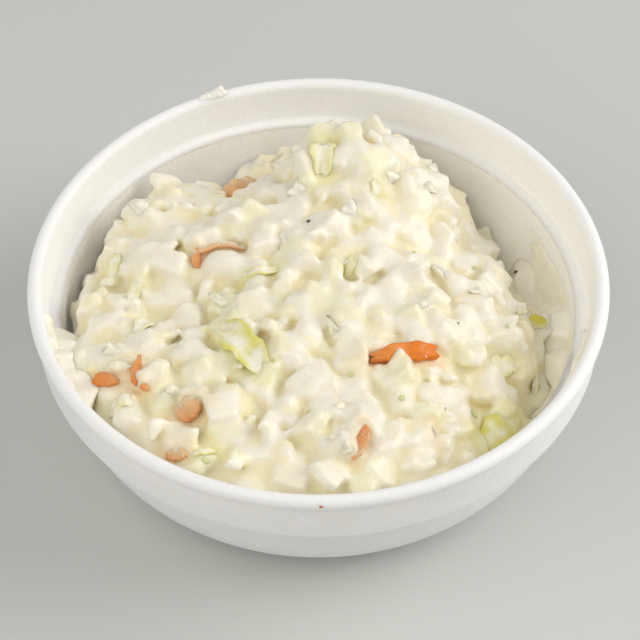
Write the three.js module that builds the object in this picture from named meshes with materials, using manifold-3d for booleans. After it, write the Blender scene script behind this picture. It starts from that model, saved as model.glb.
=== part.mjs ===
// Creamy chopped coleslaw in a small foam bowl. Millimetres, +Z up.
// The origin is the middle of the bowl's underside, and -Y is the side that faces the eater.
import * as THREE from "three";
import { mergeVertices } from "three/addons/utils/BufferGeometryUtils.js";
import Module from "manifold-3d";

const wasm = await Module();
wasm.setup();

// ---------------------------------------------------------------- bowl, driving sizes
const BOWL_RADIUS = 60; // outside of the rolled rim
const BOWL_HEIGHT = 39; // underside to the top of the rim
const BEAD_RADIUS = 1.5; // half the thickness of the rim
const WALL = 2.1; // foam thickness of the side
const BAND_DEPTH = 12.4; // rim top to the outside shoulder that bowls stack on
const BAND_INSET = 1.1; // how far the rim overhangs the band below it
const BAND_TAPER = 0.4; // the band leans in by this much on its way down
const SHOULDER_STEP = 3.2; // the side steps in by this much under the band
const LEDGE_DEPTH = 9.0; // rim top to the ledge inside
const LEDGE_WIDTH = 1.7;
const LEDGE_FALL = 0.5; // the ledge slopes down towards the middle
const CORNER = 0.4; // softening of the shoulder and of the ledge's corners
const RIM_THICKENING = 1.0; // the wall behind the band is this much thicker than the rim at the ledge
const FOOT_RADIUS = 32; // where the side's curve meets the base
const FOOT_RING = 5; // width of the ring that the bowl stands on
const FOOT_RECESS = 0.8; // the base is hollowed by this much inside the ring
const SIDE_POWER = 2.14; // 2 is an ellipse, more is squarer
const BOWL_SIDES = 60;
const OUTSIDE_STEPS = 7;
const INSIDE_STEPS = 8;

const BEAD_Z = BOWL_HEIGHT - BEAD_RADIUS;
const BEAD_CENTRE = BOWL_RADIUS - BEAD_RADIUS;
const SHOULDER_Z = BOWL_HEIGHT - BAND_DEPTH;
const BAND_TOP_RADIUS = BOWL_RADIUS - BAND_INSET;
const BAND_FOOT_RADIUS = BAND_TOP_RADIUS - BAND_TAPER;
const SIDE_TOP_RADIUS = BAND_FOOT_RADIUS - SHOULDER_STEP;
const SIDE_TOP_Z = SHOULDER_Z - 2 * CORNER;
const FLOOR_Z = FOOT_RECESS + WALL;
const CAVITY_TOP_RADIUS = SIDE_TOP_RADIUS - 1.7;
const CAVITY_FOOT_RADIUS = FOOT_RADIUS - WALL / 2;
const BAND_INNER_RADIUS = BEAD_CENTRE - BEAD_RADIUS;
const LEDGE_Z = BOWL_HEIGHT - LEDGE_DEPTH;
const LEDGE_STEP_Z = LEDGE_Z + 2.5 * CORNER; // where the wall above starts to turn into the ledge
const ABOVE_LEDGE_RADIUS = BAND_INNER_RADIUS - RIM_THICKENING;
const CAVITY_TOP_Z = LEDGE_Z - 2 * LEDGE_FALL;

// ---------------------------------------------------------------- coleslaw, driving sizes
const FOOD_GAP = 0.4; // clearance between the food and the foam
const FOOD_SIDES = 36;
const TOP_RINGS = 9;
// Height at which the salad meets the side, every 30 degrees from +X towards +Y.
const CONTACT_LEVELS = [13, 10.5, 19, 22, 17, 20, 21.5, 31, 33.5, 31.5, 26.5, 13.5];
const CROWN = 35.6; // the heap's general level over the middle of the bowl
const CROWN_POWER = 6; // how late the heap falls away towards the side
// Rises and hollows on the heap: x, y, height and spread.
const MOUNDS = [
  [11, 36, 11, 13.5],
  [2, -2, 2.5, 14],
  [-40, -26, 2.5, 12],
  [-27, -8, -5, 8],
  [38, -28, -7, 13],
  [-40, 30, 11.5, 7],
  [33, 19, -8, 12.5],
  [-17, 42, -14, 8],
];

// Between those, the heap is lumpy all over: crossed waves, each swayed by another.
const LUMP_HEIGHT = 0.8;
const LUMP_PITCH = 13;

const BIT_COUNT = 150; // chopped pieces of cabbage that stand out of the heap
const BIT_SMALLEST = 2.9; // radius
const BIT_LARGEST = 5.2;
const BIT_THINNEST = 1.8;
const BIT_THICKEST = 3.8;
const BIT_LEAN = 0.75; // most that a piece tips off the heap's slope, in radians
const BIT_SUNK = -0.6; // its middle lies between this far below the heap's surface
const BIT_PROUD = 0.9; // and this far above it
const GOLDEN_ANGLE = Math.PI * (3 - Math.sqrt(5));

// Strips of carrot: x, y, turn in degrees, length, width, thickness, lift above the heap.
const CARROTS = [
  [17, -18, 12, 13.5, 4.2, 2.2, 1.0],
  [-42, -29, -20, 6, 3.6, 1.8, 1.6],
  [-36.5, -25, 72, 7, 1.9, 1.8, 1.8],
  [-26, -32, 35, 5.6, 4.2, 2.0, 1.6],
  [-22, 12, 30, 8.5, 2.2, 1.8, 2.0],
  [-15.5, 34, 48, 8.5, 4.6, 2.4, 1.4],
  [10, -46.5, 74, 6.2, 2.0, 1.6, 1.2],
];
// Larger pieces of leaf: x, y, turn, radius, thickness, tilt in degrees, lift.
const LEAVES = [
  [-49, -22, 70, 7.0, 1.0, 38, 2.6],
  [-45, -2, 20, 6.2, 1.1, -18, 2.4],
  [-18, -14, -50, 5.6, 1.3, 22, 2.2],
  [2, 37, 80, 4.8, 1.4, 55, 2.0],
  [-33, 33, 10, 6.4, 1.1, 24, 2.0],
];

// ---------------------------------------------------------------- small helpers
// Repeatable draw from 0 to 1: the same sequence on every run.
let seed = 20719;
function draw(low = 0, high = 1) {
  seed = (seed * 16807) % 2147483647;
  return low + ((high - low) * seed) / 2147483647;
}

function manifoldOf(geometry) {
  const bare = geometry.clone();
  bare.deleteAttribute("normal");
  bare.deleteAttribute("uv");
  const merged = mergeVertices(bare, 1e-4);
  return new wasm.Manifold(
    new wasm.Mesh({
      numProp: 3,
      vertProperties: new Float32Array(merged.attributes.position.array),
      triVerts: new Uint32Array(merged.index.array),
    }),
  );
}

function geometryOf(solid) {
  const { vertProperties, triVerts } = solid.getMesh();
  const geometry = new THREE.BufferGeometry();
  geometry.setAttribute("position", new THREE.BufferAttribute(vertProperties, 3));
  geometry.setIndex(new THREE.BufferAttribute(triVerts, 1));
  geometry.computeVertexNormals();
  return geometry;
}

function closedGeometry(points, faces) {
  const geometry = new THREE.BufferGeometry();
  geometry.setAttribute("position", new THREE.Float32BufferAttribute(points.flat(), 3));
  geometry.setIndex(faces.flat());
  return geometry;
}

// A rounded side from (topRadius, topZ) down to (footRadius, footZ), level where it meets the base.
function sideRadius(z, topRadius, topZ, footRadius, footZ) {
  const down = THREE.MathUtils.clamp((topZ - z) / (topZ - footZ), 0, 1);
  const share = Math.pow(1 - Math.pow(down, SIDE_POWER), 1 / SIDE_POWER);
  return footRadius + (topRadius - footRadius) * share;
}

function sideCurve(topRadius, topZ, footRadius, footZ, steps) {
  const points = [];
  for (let i = 0; i <= steps; i++) {
    const turn = (Math.PI / 2) * (i / steps);
    const out = Math.pow(Math.max(Math.cos(turn), 0), 2 / SIDE_POWER);
    const down = Math.pow(Math.sin(turn), 2 / SIDE_POWER);
    points.push([footRadius + (topRadius - footRadius) * out, topZ - (topZ - footZ) * down]);
  }
  return points;
}

// ---------------------------------------------------------------- bowl
// The foam's inner face from above the ledge down to the floor.
function insideOutline() {
  return [
    [ABOVE_LEDGE_RADIUS, LEDGE_STEP_Z],
    [ABOVE_LEDGE_RADIUS - CORNER, LEDGE_Z],
    [ABOVE_LEDGE_RADIUS - CORNER - LEDGE_WIDTH, LEDGE_Z - LEDGE_FALL],
    ...sideCurve(CAVITY_TOP_RADIUS, CAVITY_TOP_Z, CAVITY_FOOT_RADIUS, FLOOR_Z, INSIDE_STEPS),
  ];
}

function bowlProfile() {
  const outside = sideCurve(SIDE_TOP_RADIUS, SIDE_TOP_Z, FOOT_RADIUS, 0, OUTSIDE_STEPS);
  const bead = [];
  for (let degrees = -45; degrees <= 180; degrees += 45) {
    const turn = THREE.MathUtils.degToRad(degrees);
    bead.push([
      BEAD_CENTRE + BEAD_RADIUS * Math.cos(turn),
      BEAD_Z + BEAD_RADIUS * Math.sin(turn),
    ]);
  }
  return [
    [0, FOOT_RECESS],
    [FOOT_RADIUS - FOOT_RING - 1, FOOT_RECESS],
    [FOOT_RADIUS - FOOT_RING, 0],
    ...outside.reverse(),
    [BAND_FOOT_RADIUS - CORNER, SHOULDER_Z - CORNER],
    [BAND_FOOT_RADIUS, SHOULDER_Z + CORNER],
    [BAND_TOP_RADIUS, BEAD_Z - BEAD_RADIUS * 1.25],
    ...bead,
    ...insideOutline(),
    [0, FLOOR_Z],
  ];
}

function turnedGeometry(profile, sides) {
  const outline = profile.map(([radius, z]) => new THREE.Vector2(radius, z));
  const turned = new THREE.LatheGeometry(outline, sides);
  turned.rotateX(Math.PI / 2);
  return turned;
}

// ---------------------------------------------------------------- the heap's form
// Radius of the foam's inner face at height z.
function cavityRadius(z) {
  if (z <= CAVITY_TOP_Z) {
    return sideRadius(z, CAVITY_TOP_RADIUS, CAVITY_TOP_Z, CAVITY_FOOT_RADIUS, FLOOR_Z);
  }
  return z < LEDGE_STEP_Z ? CAVITY_TOP_RADIUS : ABOVE_LEDGE_RADIUS;
}

function contactLevel(angle) {
  const count = CONTACT_LEVELS.length;
  const place = (((angle / (2 * Math.PI)) % 1) + 1) * count;
  const first = Math.floor(place);
  const share = place - first;
  const level = (i) => CONTACT_LEVELS[(first + i + count) % count];
  const [a, b, c, d] = [level(-1), level(0), level(1), level(2)];
  const bend = 2 * a - 5 * b + 4 * c - d;
  const twist = -a + 3 * b - 3 * c + d;
  return b + 0.5 * share * (c - a + share * (bend + share * twist));
}

function heapHeight(x, y) {
  const angle = Math.atan2(y, x);
  const level = contactLevel(angle);
  const reach = Math.min(Math.hypot(x, y) / (cavityRadius(level) - FOOD_GAP), 1);
  let crown = CROWN;
  for (const [mx, my, height, spread] of MOUNDS) {
    crown += height * Math.exp(-((x - mx) ** 2 + (y - my) ** 2) / (2 * spread ** 2));
  }
  const [u, v] = [(2 * Math.PI * x) / LUMP_PITCH, (2 * Math.PI * y) / LUMP_PITCH];
  crown += LUMP_HEIGHT * Math.sin(u + Math.sin(0.7 * v)) * Math.cos(v + Math.sin(0.6 * u));
  return level + (crown - level) * (1 - Math.pow(reach, CROWN_POWER));
}

function heapNormal(x, y) {
  const step = 1;
  const slopeX = (heapHeight(x + step, y) - heapHeight(x - step, y)) / (2 * step);
  const slopeY = (heapHeight(x, y + step) - heapHeight(x, y - step)) / (2 * step);
  return new THREE.Vector3(-slopeX, -slopeY, 1).normalize();
}

// Everything under the heap's top, out past the foam and down to the floor.
function underHeapGeometry() {
  const points = [[0, 0, heapHeight(0, 0)]];
  for (let ring = 1; ring <= TOP_RINGS + 1; ring++) {
    for (let side = 0; side < FOOD_SIDES; side++) {
      const angle = (2 * Math.PI * side) / FOOD_SIDES;
      const edge = cavityRadius(contactLevel(angle));
      const radius = ring > TOP_RINGS ? BOWL_RADIUS : (edge * ring) / TOP_RINGS;
      const [x, y] = [radius * Math.cos(angle), radius * Math.sin(angle)];
      points.push([x, y, heapHeight(x, y)]);
    }
  }
  for (let side = 0; side < FOOD_SIDES; side++) {
    const angle = (2 * Math.PI * side) / FOOD_SIDES;
    points.push([BOWL_RADIUS * Math.cos(angle), BOWL_RADIUS * Math.sin(angle), 0]);
  }
  points.push([0, 0, 0]);
  const rings = TOP_RINGS + 2;
  const at = (ring, side) => 1 + (ring - 1) * FOOD_SIDES + (side % FOOD_SIDES);
  const last = points.length - 1;
  const faces = [];
  for (let side = 0; side < FOOD_SIDES; side++) {
    faces.push([0, at(1, side), at(1, side + 1)]);
    for (let ring = 1; ring < rings; ring++) {
      faces.push([at(ring, side), at(ring + 1, side), at(ring + 1, side + 1)]);
      faces.push([at(ring, side), at(ring + 1, side + 1), at(ring, side + 1)]);
    }
    faces.push([last, at(rings, side + 1), at(rings, side)]);
  }
  return closedGeometry(points, faces);
}

// The room inside the foam, a gap away from it, flaring out over the rim.
function roomGeometry() {
  const inside = insideOutline().map(([radius, z]) => [radius - FOOD_GAP, z]);
  const floor = FLOOR_Z + FOOD_GAP;
  inside.pop();
  const profile = [
    [0, floor],
    [CAVITY_FOOT_RADIUS, floor],
    ...inside.reverse(),
    [BAND_INNER_RADIUS - FOOD_GAP, BEAD_Z],
    [BEAD_CENTRE - FOOD_GAP, BOWL_HEIGHT + FOOD_GAP],
    [BOWL_RADIUS, BOWL_HEIGHT + FOOD_GAP],
    [BOWL_RADIUS, 2 * BOWL_HEIGHT],
    [0, 2 * BOWL_HEIGHT],
  ];
  return turnedGeometry(profile, FOOD_SIDES);
}

// ---------------------------------------------------------------- chopped pieces
// A chopped piece: an uneven outline of a few corners, cupped, both faces split alike from the middle.
function bitGeometry(corners, radius, thickness, cup) {
  const points = [
    [0, 0, thickness / 2 + cup],
    [0, 0, -thickness / 2 + cup],
  ];
  for (let i = 0; i < corners; i++) {
    const angle = (2 * Math.PI * (i + draw(-0.28, 0.28))) / corners;
    const reach = radius * draw(0.68, 1.12);
    const [x, y] = [reach * Math.cos(angle), reach * Math.sin(angle)];
    const wave = draw(-0.35, 0.35) * thickness;
    points.push([x, y, thickness / 2 + wave], [x, y, -thickness / 2 + wave]);
  }
  const faces = [];
  for (let i = 0; i < corners; i++) {
    const [here, next] = [2 + 2 * i, 2 + 2 * ((i + 1) % corners)];
    faces.push([0, here, next], [1, next + 1, here + 1]);
    faces.push([here, here + 1, next + 1], [here, next + 1, next]);
  }
  return closedGeometry(points, faces);
}

// A strip of carrot: a bar with cut ends, bowed a little along its length.
function stripGeometry(length, width, thickness) {
  const stations = 4;
  const points = [];
  for (let i = 0; i < stations; i++) {
    const along = i / (stations - 1);
    const x = (along - 0.5) * length;
    const taper = 1 - 0.45 * Math.pow(Math.abs(2 * along - 1), 2);
    const bow = 0.1 * length * (1 - Math.pow(2 * along - 1, 2));
    for (const [across, up] of [[-1, -1], [1, -1], [1, 1], [-1, 1]]) {
      points.push([x, (across * width * taper) / 2, (up * thickness) / 2 + bow]);
    }
  }
  const faces = [[0, 3, 2], [0, 2, 1]];
  for (let i = 0; i < stations - 1; i++) {
    for (let side = 0; side < 4; side++) {
      const [a, b] = [4 * i + side, 4 * i + ((side + 1) % 4)];
      faces.push([a, b, b + 4], [a, b + 4, a + 4]);
    }
  }
  const end = 4 * (stations - 1);
  faces.push([end, end + 1, end + 2], [end, end + 2, end + 3]);
  return closedGeometry(points, faces);
}

// Turns a piece about its own upright, leans it off the heap's slope and sets it on the surface.
function laid(geometry, x, y, turn, lean, leanTowards, lift) {
  const slope = new THREE.Quaternion().setFromUnitVectors(
    new THREE.Vector3(0, 0, 1),
    heapNormal(x, y),
  );
  const axis = new THREE.Vector3(Math.cos(leanTowards), Math.sin(leanTowards), 0);
  const leaning = new THREE.Quaternion().setFromAxisAngle(axis, lean);
  const turning = new THREE.Quaternion().setFromAxisAngle(new THREE.Vector3(0, 0, 1), turn);
  geometry.applyQuaternion(slope.multiply(leaning).multiply(turning));
  geometry.translate(x, y, heapHeight(x, y) + lift);
  return geometry;
}

// How far a piece reaches into the foam, 0 when it is clear of it.
function reachIntoFoam(geometry) {
  const position = geometry.getAttribute("position");
  let worst = 0;
  for (let i = 0; i < position.count; i++) {
    const z = position.getZ(i);
    if (z < BOWL_HEIGHT + FOOD_GAP) {
      const limit = cavityRadius(z) - FOOD_GAP;
      worst = Math.max(worst, Math.hypot(position.getX(i), position.getY(i)) - limit);
    }
  }
  return worst;
}

// A piece that would cross the foam is moved towards the middle; null if that doesn't clear it.
function clearOfFoam(geometry, x, y) {
  for (let tries = 0; tries < 4; tries++) {
    const reach = reachIntoFoam(geometry);
    if (reach <= 0) return geometry;
    const radius = Math.hypot(x, y);
    geometry.translate((-x / radius) * (reach + 0.1), (-y / radius) * (reach + 0.1), 0);
  }
  return null;
}

function cabbageBits() {
  const bits = [];
  for (let i = 0; i < BIT_COUNT; i++) {
    const angle = i * GOLDEN_ANGLE + draw(-0.1, 0.1);
    const edge = cavityRadius(contactLevel(angle)) - 2.5;
    const radius = edge * Math.sqrt((i + 0.5) / BIT_COUNT);
    const [x, y] = [radius * Math.cos(angle), radius * Math.sin(angle)];
    const size = BIT_SMALLEST + (BIT_LARGEST - BIT_SMALLEST) * draw() * draw(0.6, 1);
    const thickness = draw(BIT_THINNEST, BIT_THICKEST);
    const shape = bitGeometry(draw() < 0.3 ? 4 : 5, size, thickness, draw(-0.1, 0.9));
    const lean = draw(-BIT_LEAN, BIT_LEAN);
    const [turn, towards, lift] = [draw(0, 2 * Math.PI), draw(0, Math.PI), draw(BIT_SUNK, BIT_PROUD)];
    laid(shape, x, y, turn, lean, towards, lift);
    const clear = clearOfFoam(shape, x, y);
    if (clear) bits.push(clear);
  }
  return bits;
}

function leafPieces() {
  return LEAVES.map(([x, y, turn, radius, thickness, tilt, lift]) => {
    const shape = bitGeometry(7, radius, thickness, 1.2);
    const { degToRad } = THREE.MathUtils;
    laid(shape, x, y, degToRad(turn), degToRad(tilt), degToRad(turn), lift);
    return clearOfFoam(shape, x, y);
  });
}

function carrotStrips() {
  return CARROTS.map(([x, y, turn, length, width, thickness, lift]) => {
    const shape = stripGeometry(length, width, thickness);
    laid(shape, x, y, THREE.MathUtils.degToRad(turn), 0.12, 0, lift);
    return clearOfFoam(shape, x, y);
  });
}

// The body with its pieces fused on. A hollow that fusing seals is filled, a loose scrap dropped.
function coleslawGeometry() {
  const pieces = [...carrotStrips(), ...leafPieces(), ...cabbageBits()].filter(Boolean);
  const heap = wasm.Manifold.union([underHeapGeometry(), ...pieces].map(manifoldOf));
  const fused = heap.intersect(manifoldOf(roomGeometry()));
  const bodies = fused.decompose().sort((a, b) => b.volume() - a.volume());
  return geometryOf(bodies[0]);
}

// ---------------------------------------------------------------- the object
function namedMesh(name, geometry, colour, roughness) {
  const material = new THREE.MeshStandardMaterial({ color: colour, roughness, metalness: 0 });
  const mesh = new THREE.Mesh(geometry, material);
  mesh.name = name;
  return mesh;
}

const coleslawInBowl = new THREE.Group();
coleslawInBowl.add(namedMesh("foam_bowl", turnedGeometry(bowlProfile(), BOWL_SIDES), 0xf1f0ea, 0.7));
coleslawInBowl.add(namedMesh("coleslaw", coleslawGeometry(), 0xf2eed6, 0.35));

export default coleslawInBowl;
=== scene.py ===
"""Creamy chopped coleslaw heaped in a small foam bowl."""
import math
import random

import bmesh
import bpy
import numpy as np
from bpy.props import FloatProperty, FloatVectorProperty, IntProperty, PointerProperty
from bpy.types import Operator, Panel, PropertyGroup
from mathutils import Matrix, Quaternion, Vector, noise
from mathutils.bvhtree import BVHTree


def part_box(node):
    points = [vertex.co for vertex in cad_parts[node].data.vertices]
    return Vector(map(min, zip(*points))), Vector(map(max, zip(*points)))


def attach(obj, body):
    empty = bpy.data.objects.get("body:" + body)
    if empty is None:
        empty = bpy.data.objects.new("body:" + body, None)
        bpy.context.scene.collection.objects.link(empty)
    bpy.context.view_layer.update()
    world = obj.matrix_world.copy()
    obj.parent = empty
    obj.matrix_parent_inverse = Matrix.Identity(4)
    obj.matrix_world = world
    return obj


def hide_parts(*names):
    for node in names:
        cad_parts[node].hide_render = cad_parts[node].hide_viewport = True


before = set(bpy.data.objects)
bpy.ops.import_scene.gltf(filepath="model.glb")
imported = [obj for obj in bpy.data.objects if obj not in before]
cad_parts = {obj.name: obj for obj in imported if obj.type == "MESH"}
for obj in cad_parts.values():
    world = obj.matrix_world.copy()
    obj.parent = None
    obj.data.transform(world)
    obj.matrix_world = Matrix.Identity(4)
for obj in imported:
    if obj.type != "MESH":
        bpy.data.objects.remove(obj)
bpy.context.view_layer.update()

bl_info = {
    "name": "Coleslaw in a foam bowl",
    "version": (1, 0, 0),
    "blender": (4, 5, 0),
    "location": "3D View > Sidebar > Coleslaw",
    "description": "Builds the foam bowl, the dressed salad and what lies on them, one button each",
    "category": "Add Mesh",
}

BOWL_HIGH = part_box("foam_bowl")[1]
HEAP_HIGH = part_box("coleslaw")[1]
MM = 0.001
UP = Vector((0, 0, 1))
WHITE = (1, 1, 1)
GOLDEN_ANGLE = math.pi * (3 - math.sqrt(5))

BOWL_STEPS = 192
WOBBLE, WOBBLE_SCALE = 0.05 * MM, 45.0  # how uneven the foam is
CORE_GRAIN = 1.2 * MM  # detail of the salad's body under its pieces
CORE_SINK = 1.4 * MM  # how far that body sinks under them
HEAP_TRIANGLES = 192000
FILL_RISE, FILL_SINK = 0.9, 0.04  # how fast dressing fills a hollow, and sinks off a rise
VEIL_START, VEIL_DEPTH = 0.25 * MM, 0.9 * MM  # dressing this deep begins to hide, and hides, a tint

# How near each comes to the foam.
BITS_GAP = 0.5 * MM
HEAP_GAP = 0.12 * MM
LEAF_GAP = 0.4 * MM
CABBAGE_GAP = 0.3 * MM

LEAF_THICKNESS = 0.45 * MM
FLECK_THICKNESS = 0.4 * MM
CHIP_THICKNESS = 0.5 * MM
FILM_BACK = 0.6 * MM  # how far the dressing on the wall reaches into the foam
SMEAR_GRAIN = 0.2 * MM
MAP_UNIT = 40 * MM  # one unit of a UV map that looks down


# ---------------------------------------------------------------- what a user may change
def length(name, description, default, low=0.0, high=1.0):
    """A length property in metres."""
    return FloatProperty(
        name=name,
        description=description,
        default=default,
        min=low,
        max=high,
        unit="LENGTH",
        precision=5,
    )


def colour(name, description, default):
    """A colour property."""
    return FloatVectorProperty(
        name=name,
        description=description,
        default=default,
        size=3,
        min=0,
        max=1,
        subtype="COLOR",
    )


class FoamBowlSettings(PropertyGroup):
    """Sizes and colours of the foam bowl."""

    rim_radius: length("Rim radius", "Outside of the rolled rim", BOWL_HIGH.x)
    height: length("Height", "Underside to the top of the rim", BOWL_HIGH.z)
    bead_radius: length("Bead radius", "Half the thickness of the rim", 1.5 * MM)
    band_inset: length("Band inset", "How far the rim overhangs the band", 1.1 * MM)
    band_depth: length("Band depth", "Rim top to the outside shoulder", 12.4 * MM)
    band_taper: length("Band taper", "How much the band leans in", 0.4 * MM)
    shoulder_step: length("Shoulder step", "How far the side steps in", 3.2 * MM)
    ledge_depth: length("Ledge depth", "Rim top to the ledge inside", 9.0 * MM)
    ledge_width: length("Ledge width", "Width of the ledge inside", 1.7 * MM)
    foot_radius: length("Foot radius", "Where the side meets the base", 32.0 * MM)
    foot_ring: length("Foot ring", "Width of the ring it stands on", 5.0 * MM)
    foot_recess: length("Foot recess", "Hollow of the base inside the ring", 0.8 * MM)
    wall: length("Wall", "Foam thickness", 2.1 * MM)
    foam: colour("Foam", "Colour of the foam", (0.985, 0.978, 0.955))
    # Painted shade: a warm tone for the inner wall on the right and low down, standing in for shade and
    # light bounced off the salad.
    bounce_shade: colour("Stain", "Tone of the foam inside where dressing ran down", (0.99, 0.955, 0.86))
    bead_size: length("Bead size", "Size of the foam's grain", 1.15 * MM)


class SaladSettings(PropertyGroup):
    """Sizes and colours of the dressed salad."""

    grain: length("Grain", "Finest detail of the dressed heap", 0.42 * MM)
    large_bits: IntProperty(name="Large bits", description="Chunky pieces in it", default=290)
    medium_bits: IntProperty(name="Medium bits", description="Flat pieces in it", default=180)
    small_bits: IntProperty(name="Small bits", description="Smaller pieces in it", default=240)
    bare_pieces: IntProperty(name="Bare pieces", description="Pieces with bare edges", default=28)
    cream: colour("Cream", "Colour of the dressing where it stands out", (0.92, 0.868, 0.745))
    # Painted shade: the warm tone of the dressing in the hollows, standing in for shade and light bounced
    # between the pieces; the wall film's streaks take it as their darker tone.
    hollow_shade: colour("Hollows", "Colour of the dressing in the hollows", (0.90, 0.82, 0.57))
    film: colour("Film", "Colour of the thin dressing on the foam", (0.98, 0.95, 0.825))
    cabbage: colour("Cabbage", "Colour of the bare cabbage", (0.98, 0.955, 0.82))
    leaf: colour("Leaf", "Colour of the green leaf edges", (0.80, 0.74, 0.19))
    carrot: colour("Carrot", "Colour of the bare carrot", (0.84, 0.215, 0.006))
    pale_carrot: colour("Veiled carrot", "Colour of carrot under dressing", (0.88, 0.60, 0.33))
    pepper: colour("Pepper", "Colour of the pepper specks", (0.085, 0.08, 0.03))


class StageSettings(PropertyGroup):
    """Camera, lights and floor."""

    distance: length("Distance", "Camera to the middle of the rim", 0.540, high=5.0)
    elevation: FloatProperty(
        name="Elevation",
        description="Camera above the horizon",
        default=math.radians(47.1226),
        subtype="ANGLE",
    )
    lens: FloatProperty(name="Lens", description="Focal length", default=147.02, unit="CAMERA")
    floor: colour("Floor", "Colour of the floor", (0.62, 0.62, 0.60))
    key_power: FloatProperty(name="Key light", description="Power", default=8.0, unit="POWER")
    fill_power: FloatProperty(name="Fill light", description="Power", default=6.6, unit="POWER")
    sky: FloatProperty(name="Sky", description="Strength of the light all round", default=0.38)


# ---------------------------------------------------------------- where things lie
# Lumps that stand out of the heap, in millimetres: x, y, half their width and half their height.
# From the width in LARGE_LUMP on, a lump is made of three chunks.
LARGE_LUMP = 4.6
LUMPS = (
    (-34, 22, 7.6, 4.9), (-37, 8, 3.3, 5.9), (-32, 5, 4.5, 4.8), (-45, 12, 2.9, 3.9),
    (-44, -5, 7.2, 4.8), (-25, 15, 3.6, 3.3), (-11, 17, 4.7, 3.5), (-19.2, 4.8, 4.5, 4.9),
    (-5, 4, 3.9, 5.1), (-2, 32, 1.9, 3.9), (-6, 21, 3.3, 5.8), (8, 34, 1.5, 1.9),
    (20, 42, 2.3, 3.1), (13, 30, 3.1, 3.6), (20, 23, 2.1, 4.0), (27, 31, 2.0, 2.7),
    (3, 21, 4.2, 2.1), (2, 11, 3.2, 2.3), (26, 13, 4.3, 3.2), (39, 12, 1.9, 4.2),
    (42, 3, 2.7, 2.4), (0, -8, 3.6, 5.5), (8, -9, 4.9, 3.8), (15, -5, 3.4, 4.7),
    (22.5, -10, 4.5, 3.0), (5, -22.5, 3.1, 2.8), (7, -28, 3.8, 4.9), (18, -28, 1.4, 2.2),
    (23, -21, 2.6, 2.4), (17, -38, 5.1, 3.2), (27, -28, 4.3, 2.7), (26, -34, 3.1, 2.0),
    (1, -43, 2.1, 2.8), (1, -50, 1.9, 3.0), (-11, -43, 5.3, 3.9), (-28, -39, 3.6, 2.7),
    (-20, -40, 2.0, 2.2), (-18, -30, 3.1, 2.9), (-12, -29, 3.2, 2.2), (-33, -12, 2.3, 3.3),
    (-31, -33, 2.7, 2.5), (-49, -19, 2.6, 4.1), (33, -8, 4.6, 4.6), (35, -18, 3.6, 4.6),
    (43, -11, 4.1, 5.2), (-8, -11, 4.6, 3.1), (-4, -20, 4.6, 3.1), (10, -46, 3.6, 3.1),
    (-3, -49, 2.5, 2.3), (-24, -46, 4.1, 3.1), (20, -44, 4.1, 2.6), (-48, -16, 3.4, 4.8),
    (-47, -22, 3.2, 4.2), (12.6, -24.4, 2.3, 2.8), (17.2, -24.2, 1.7, 2.0), (21.6, -21.8, 2.0, 2.4),
    (25.2, -13.8, 2.6, 3.6), (-50, -13, 2.8, 5.0), (-50, -23, 2.6, 4.0),
    (46.5, -13, 3.0, 4.6), (45, -21, 3.0, 4.6), (41.5, -28.5, 2.8, 4.2), (48, -4, 2.5, 3.6),
    (46.6, 0.6, 2.8, 5.4), (-48.5, 1.7, 2.8, 3.2), (-47.8, 8.4, 2.8, 3.2),
    (-46.1, 15, 2.8, 3.2), (-43.2, 22, 2.8, 3.2), (-39.2, 28.5, 2.8, 3.2),
)
# Leaf pieces: x, y, turn in degrees, length, width (mm), curl, lift (mm), how green (over 1: green
# reaches further in), dressing.
LEAVES = (
    (-15.4, -19.8, -53, 17.0, 6.4, 1.5, 0.7, 1.00, 0.08),
    (0.8, 29.5, 88, 8.5, 5.2, 0.5, 0.8, 0.70, 0.10),
    (12.2, 21.8, 80, 3.0, 2.2, 0.3, 0.4, 0.60, 0.14),
    (37.0, -29.0, 48, 12.0, 6.4, 0.5, 0.3, 1.20, 0.06),
    (-46.2, -27.0, 60, 4.6, 3.0, 0.5, 0.7, 1.00, 0.00),
    (6.9, 2.5, 70, 5.0, 2.2, 0.3, 0.4, 0.80, 0.14),
    (-39.3, -32.6, 10, 5.0, 4.0, 0.4, 0.4, 0.50, 0.22),
    (-11.7, 0.3, 12, 8.5, 2.2, 0.3, 0.5, 0.80, 0.10),
    (-35.6, -10.5, 50, 6.0, 3.5, 0.5, 0.7, 0.45, 0.16),
    (-43.0, 9.0, 80, 6.0, 3.0, 0.5, 0.5, 0.60, 0.20),
    (-38.4, -0.6, 60, 6.0, 3.0, 0.5, 0.4, 0.60, 0.22),
    (-22.2, -45.0, 20, 5.0, 1.6, 0.3, 0.5, 0.90, 0.18),
    (38.0, -14.0, 20, 6.0, 4.0, 0.5, 0.5, 0.60, 0.16),
)
# Green flecks: x, y, size in millimetres.
FLECKS = (
    (6.5, -25.7, 1.3), (16.6, -31.4, 1.5), (31.7, -26.7, 1.6), (-22.0, -47.0, 1.3), (33.0, 10.0, 1.0),
    (-9.0, -24.0, 1.0), (22.0, -24.0, 0.9), (-2.0, -36.0, 1.0), (39.0, -8.0, 1.2), (20.0, 8.0, 0.9),
)
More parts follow.
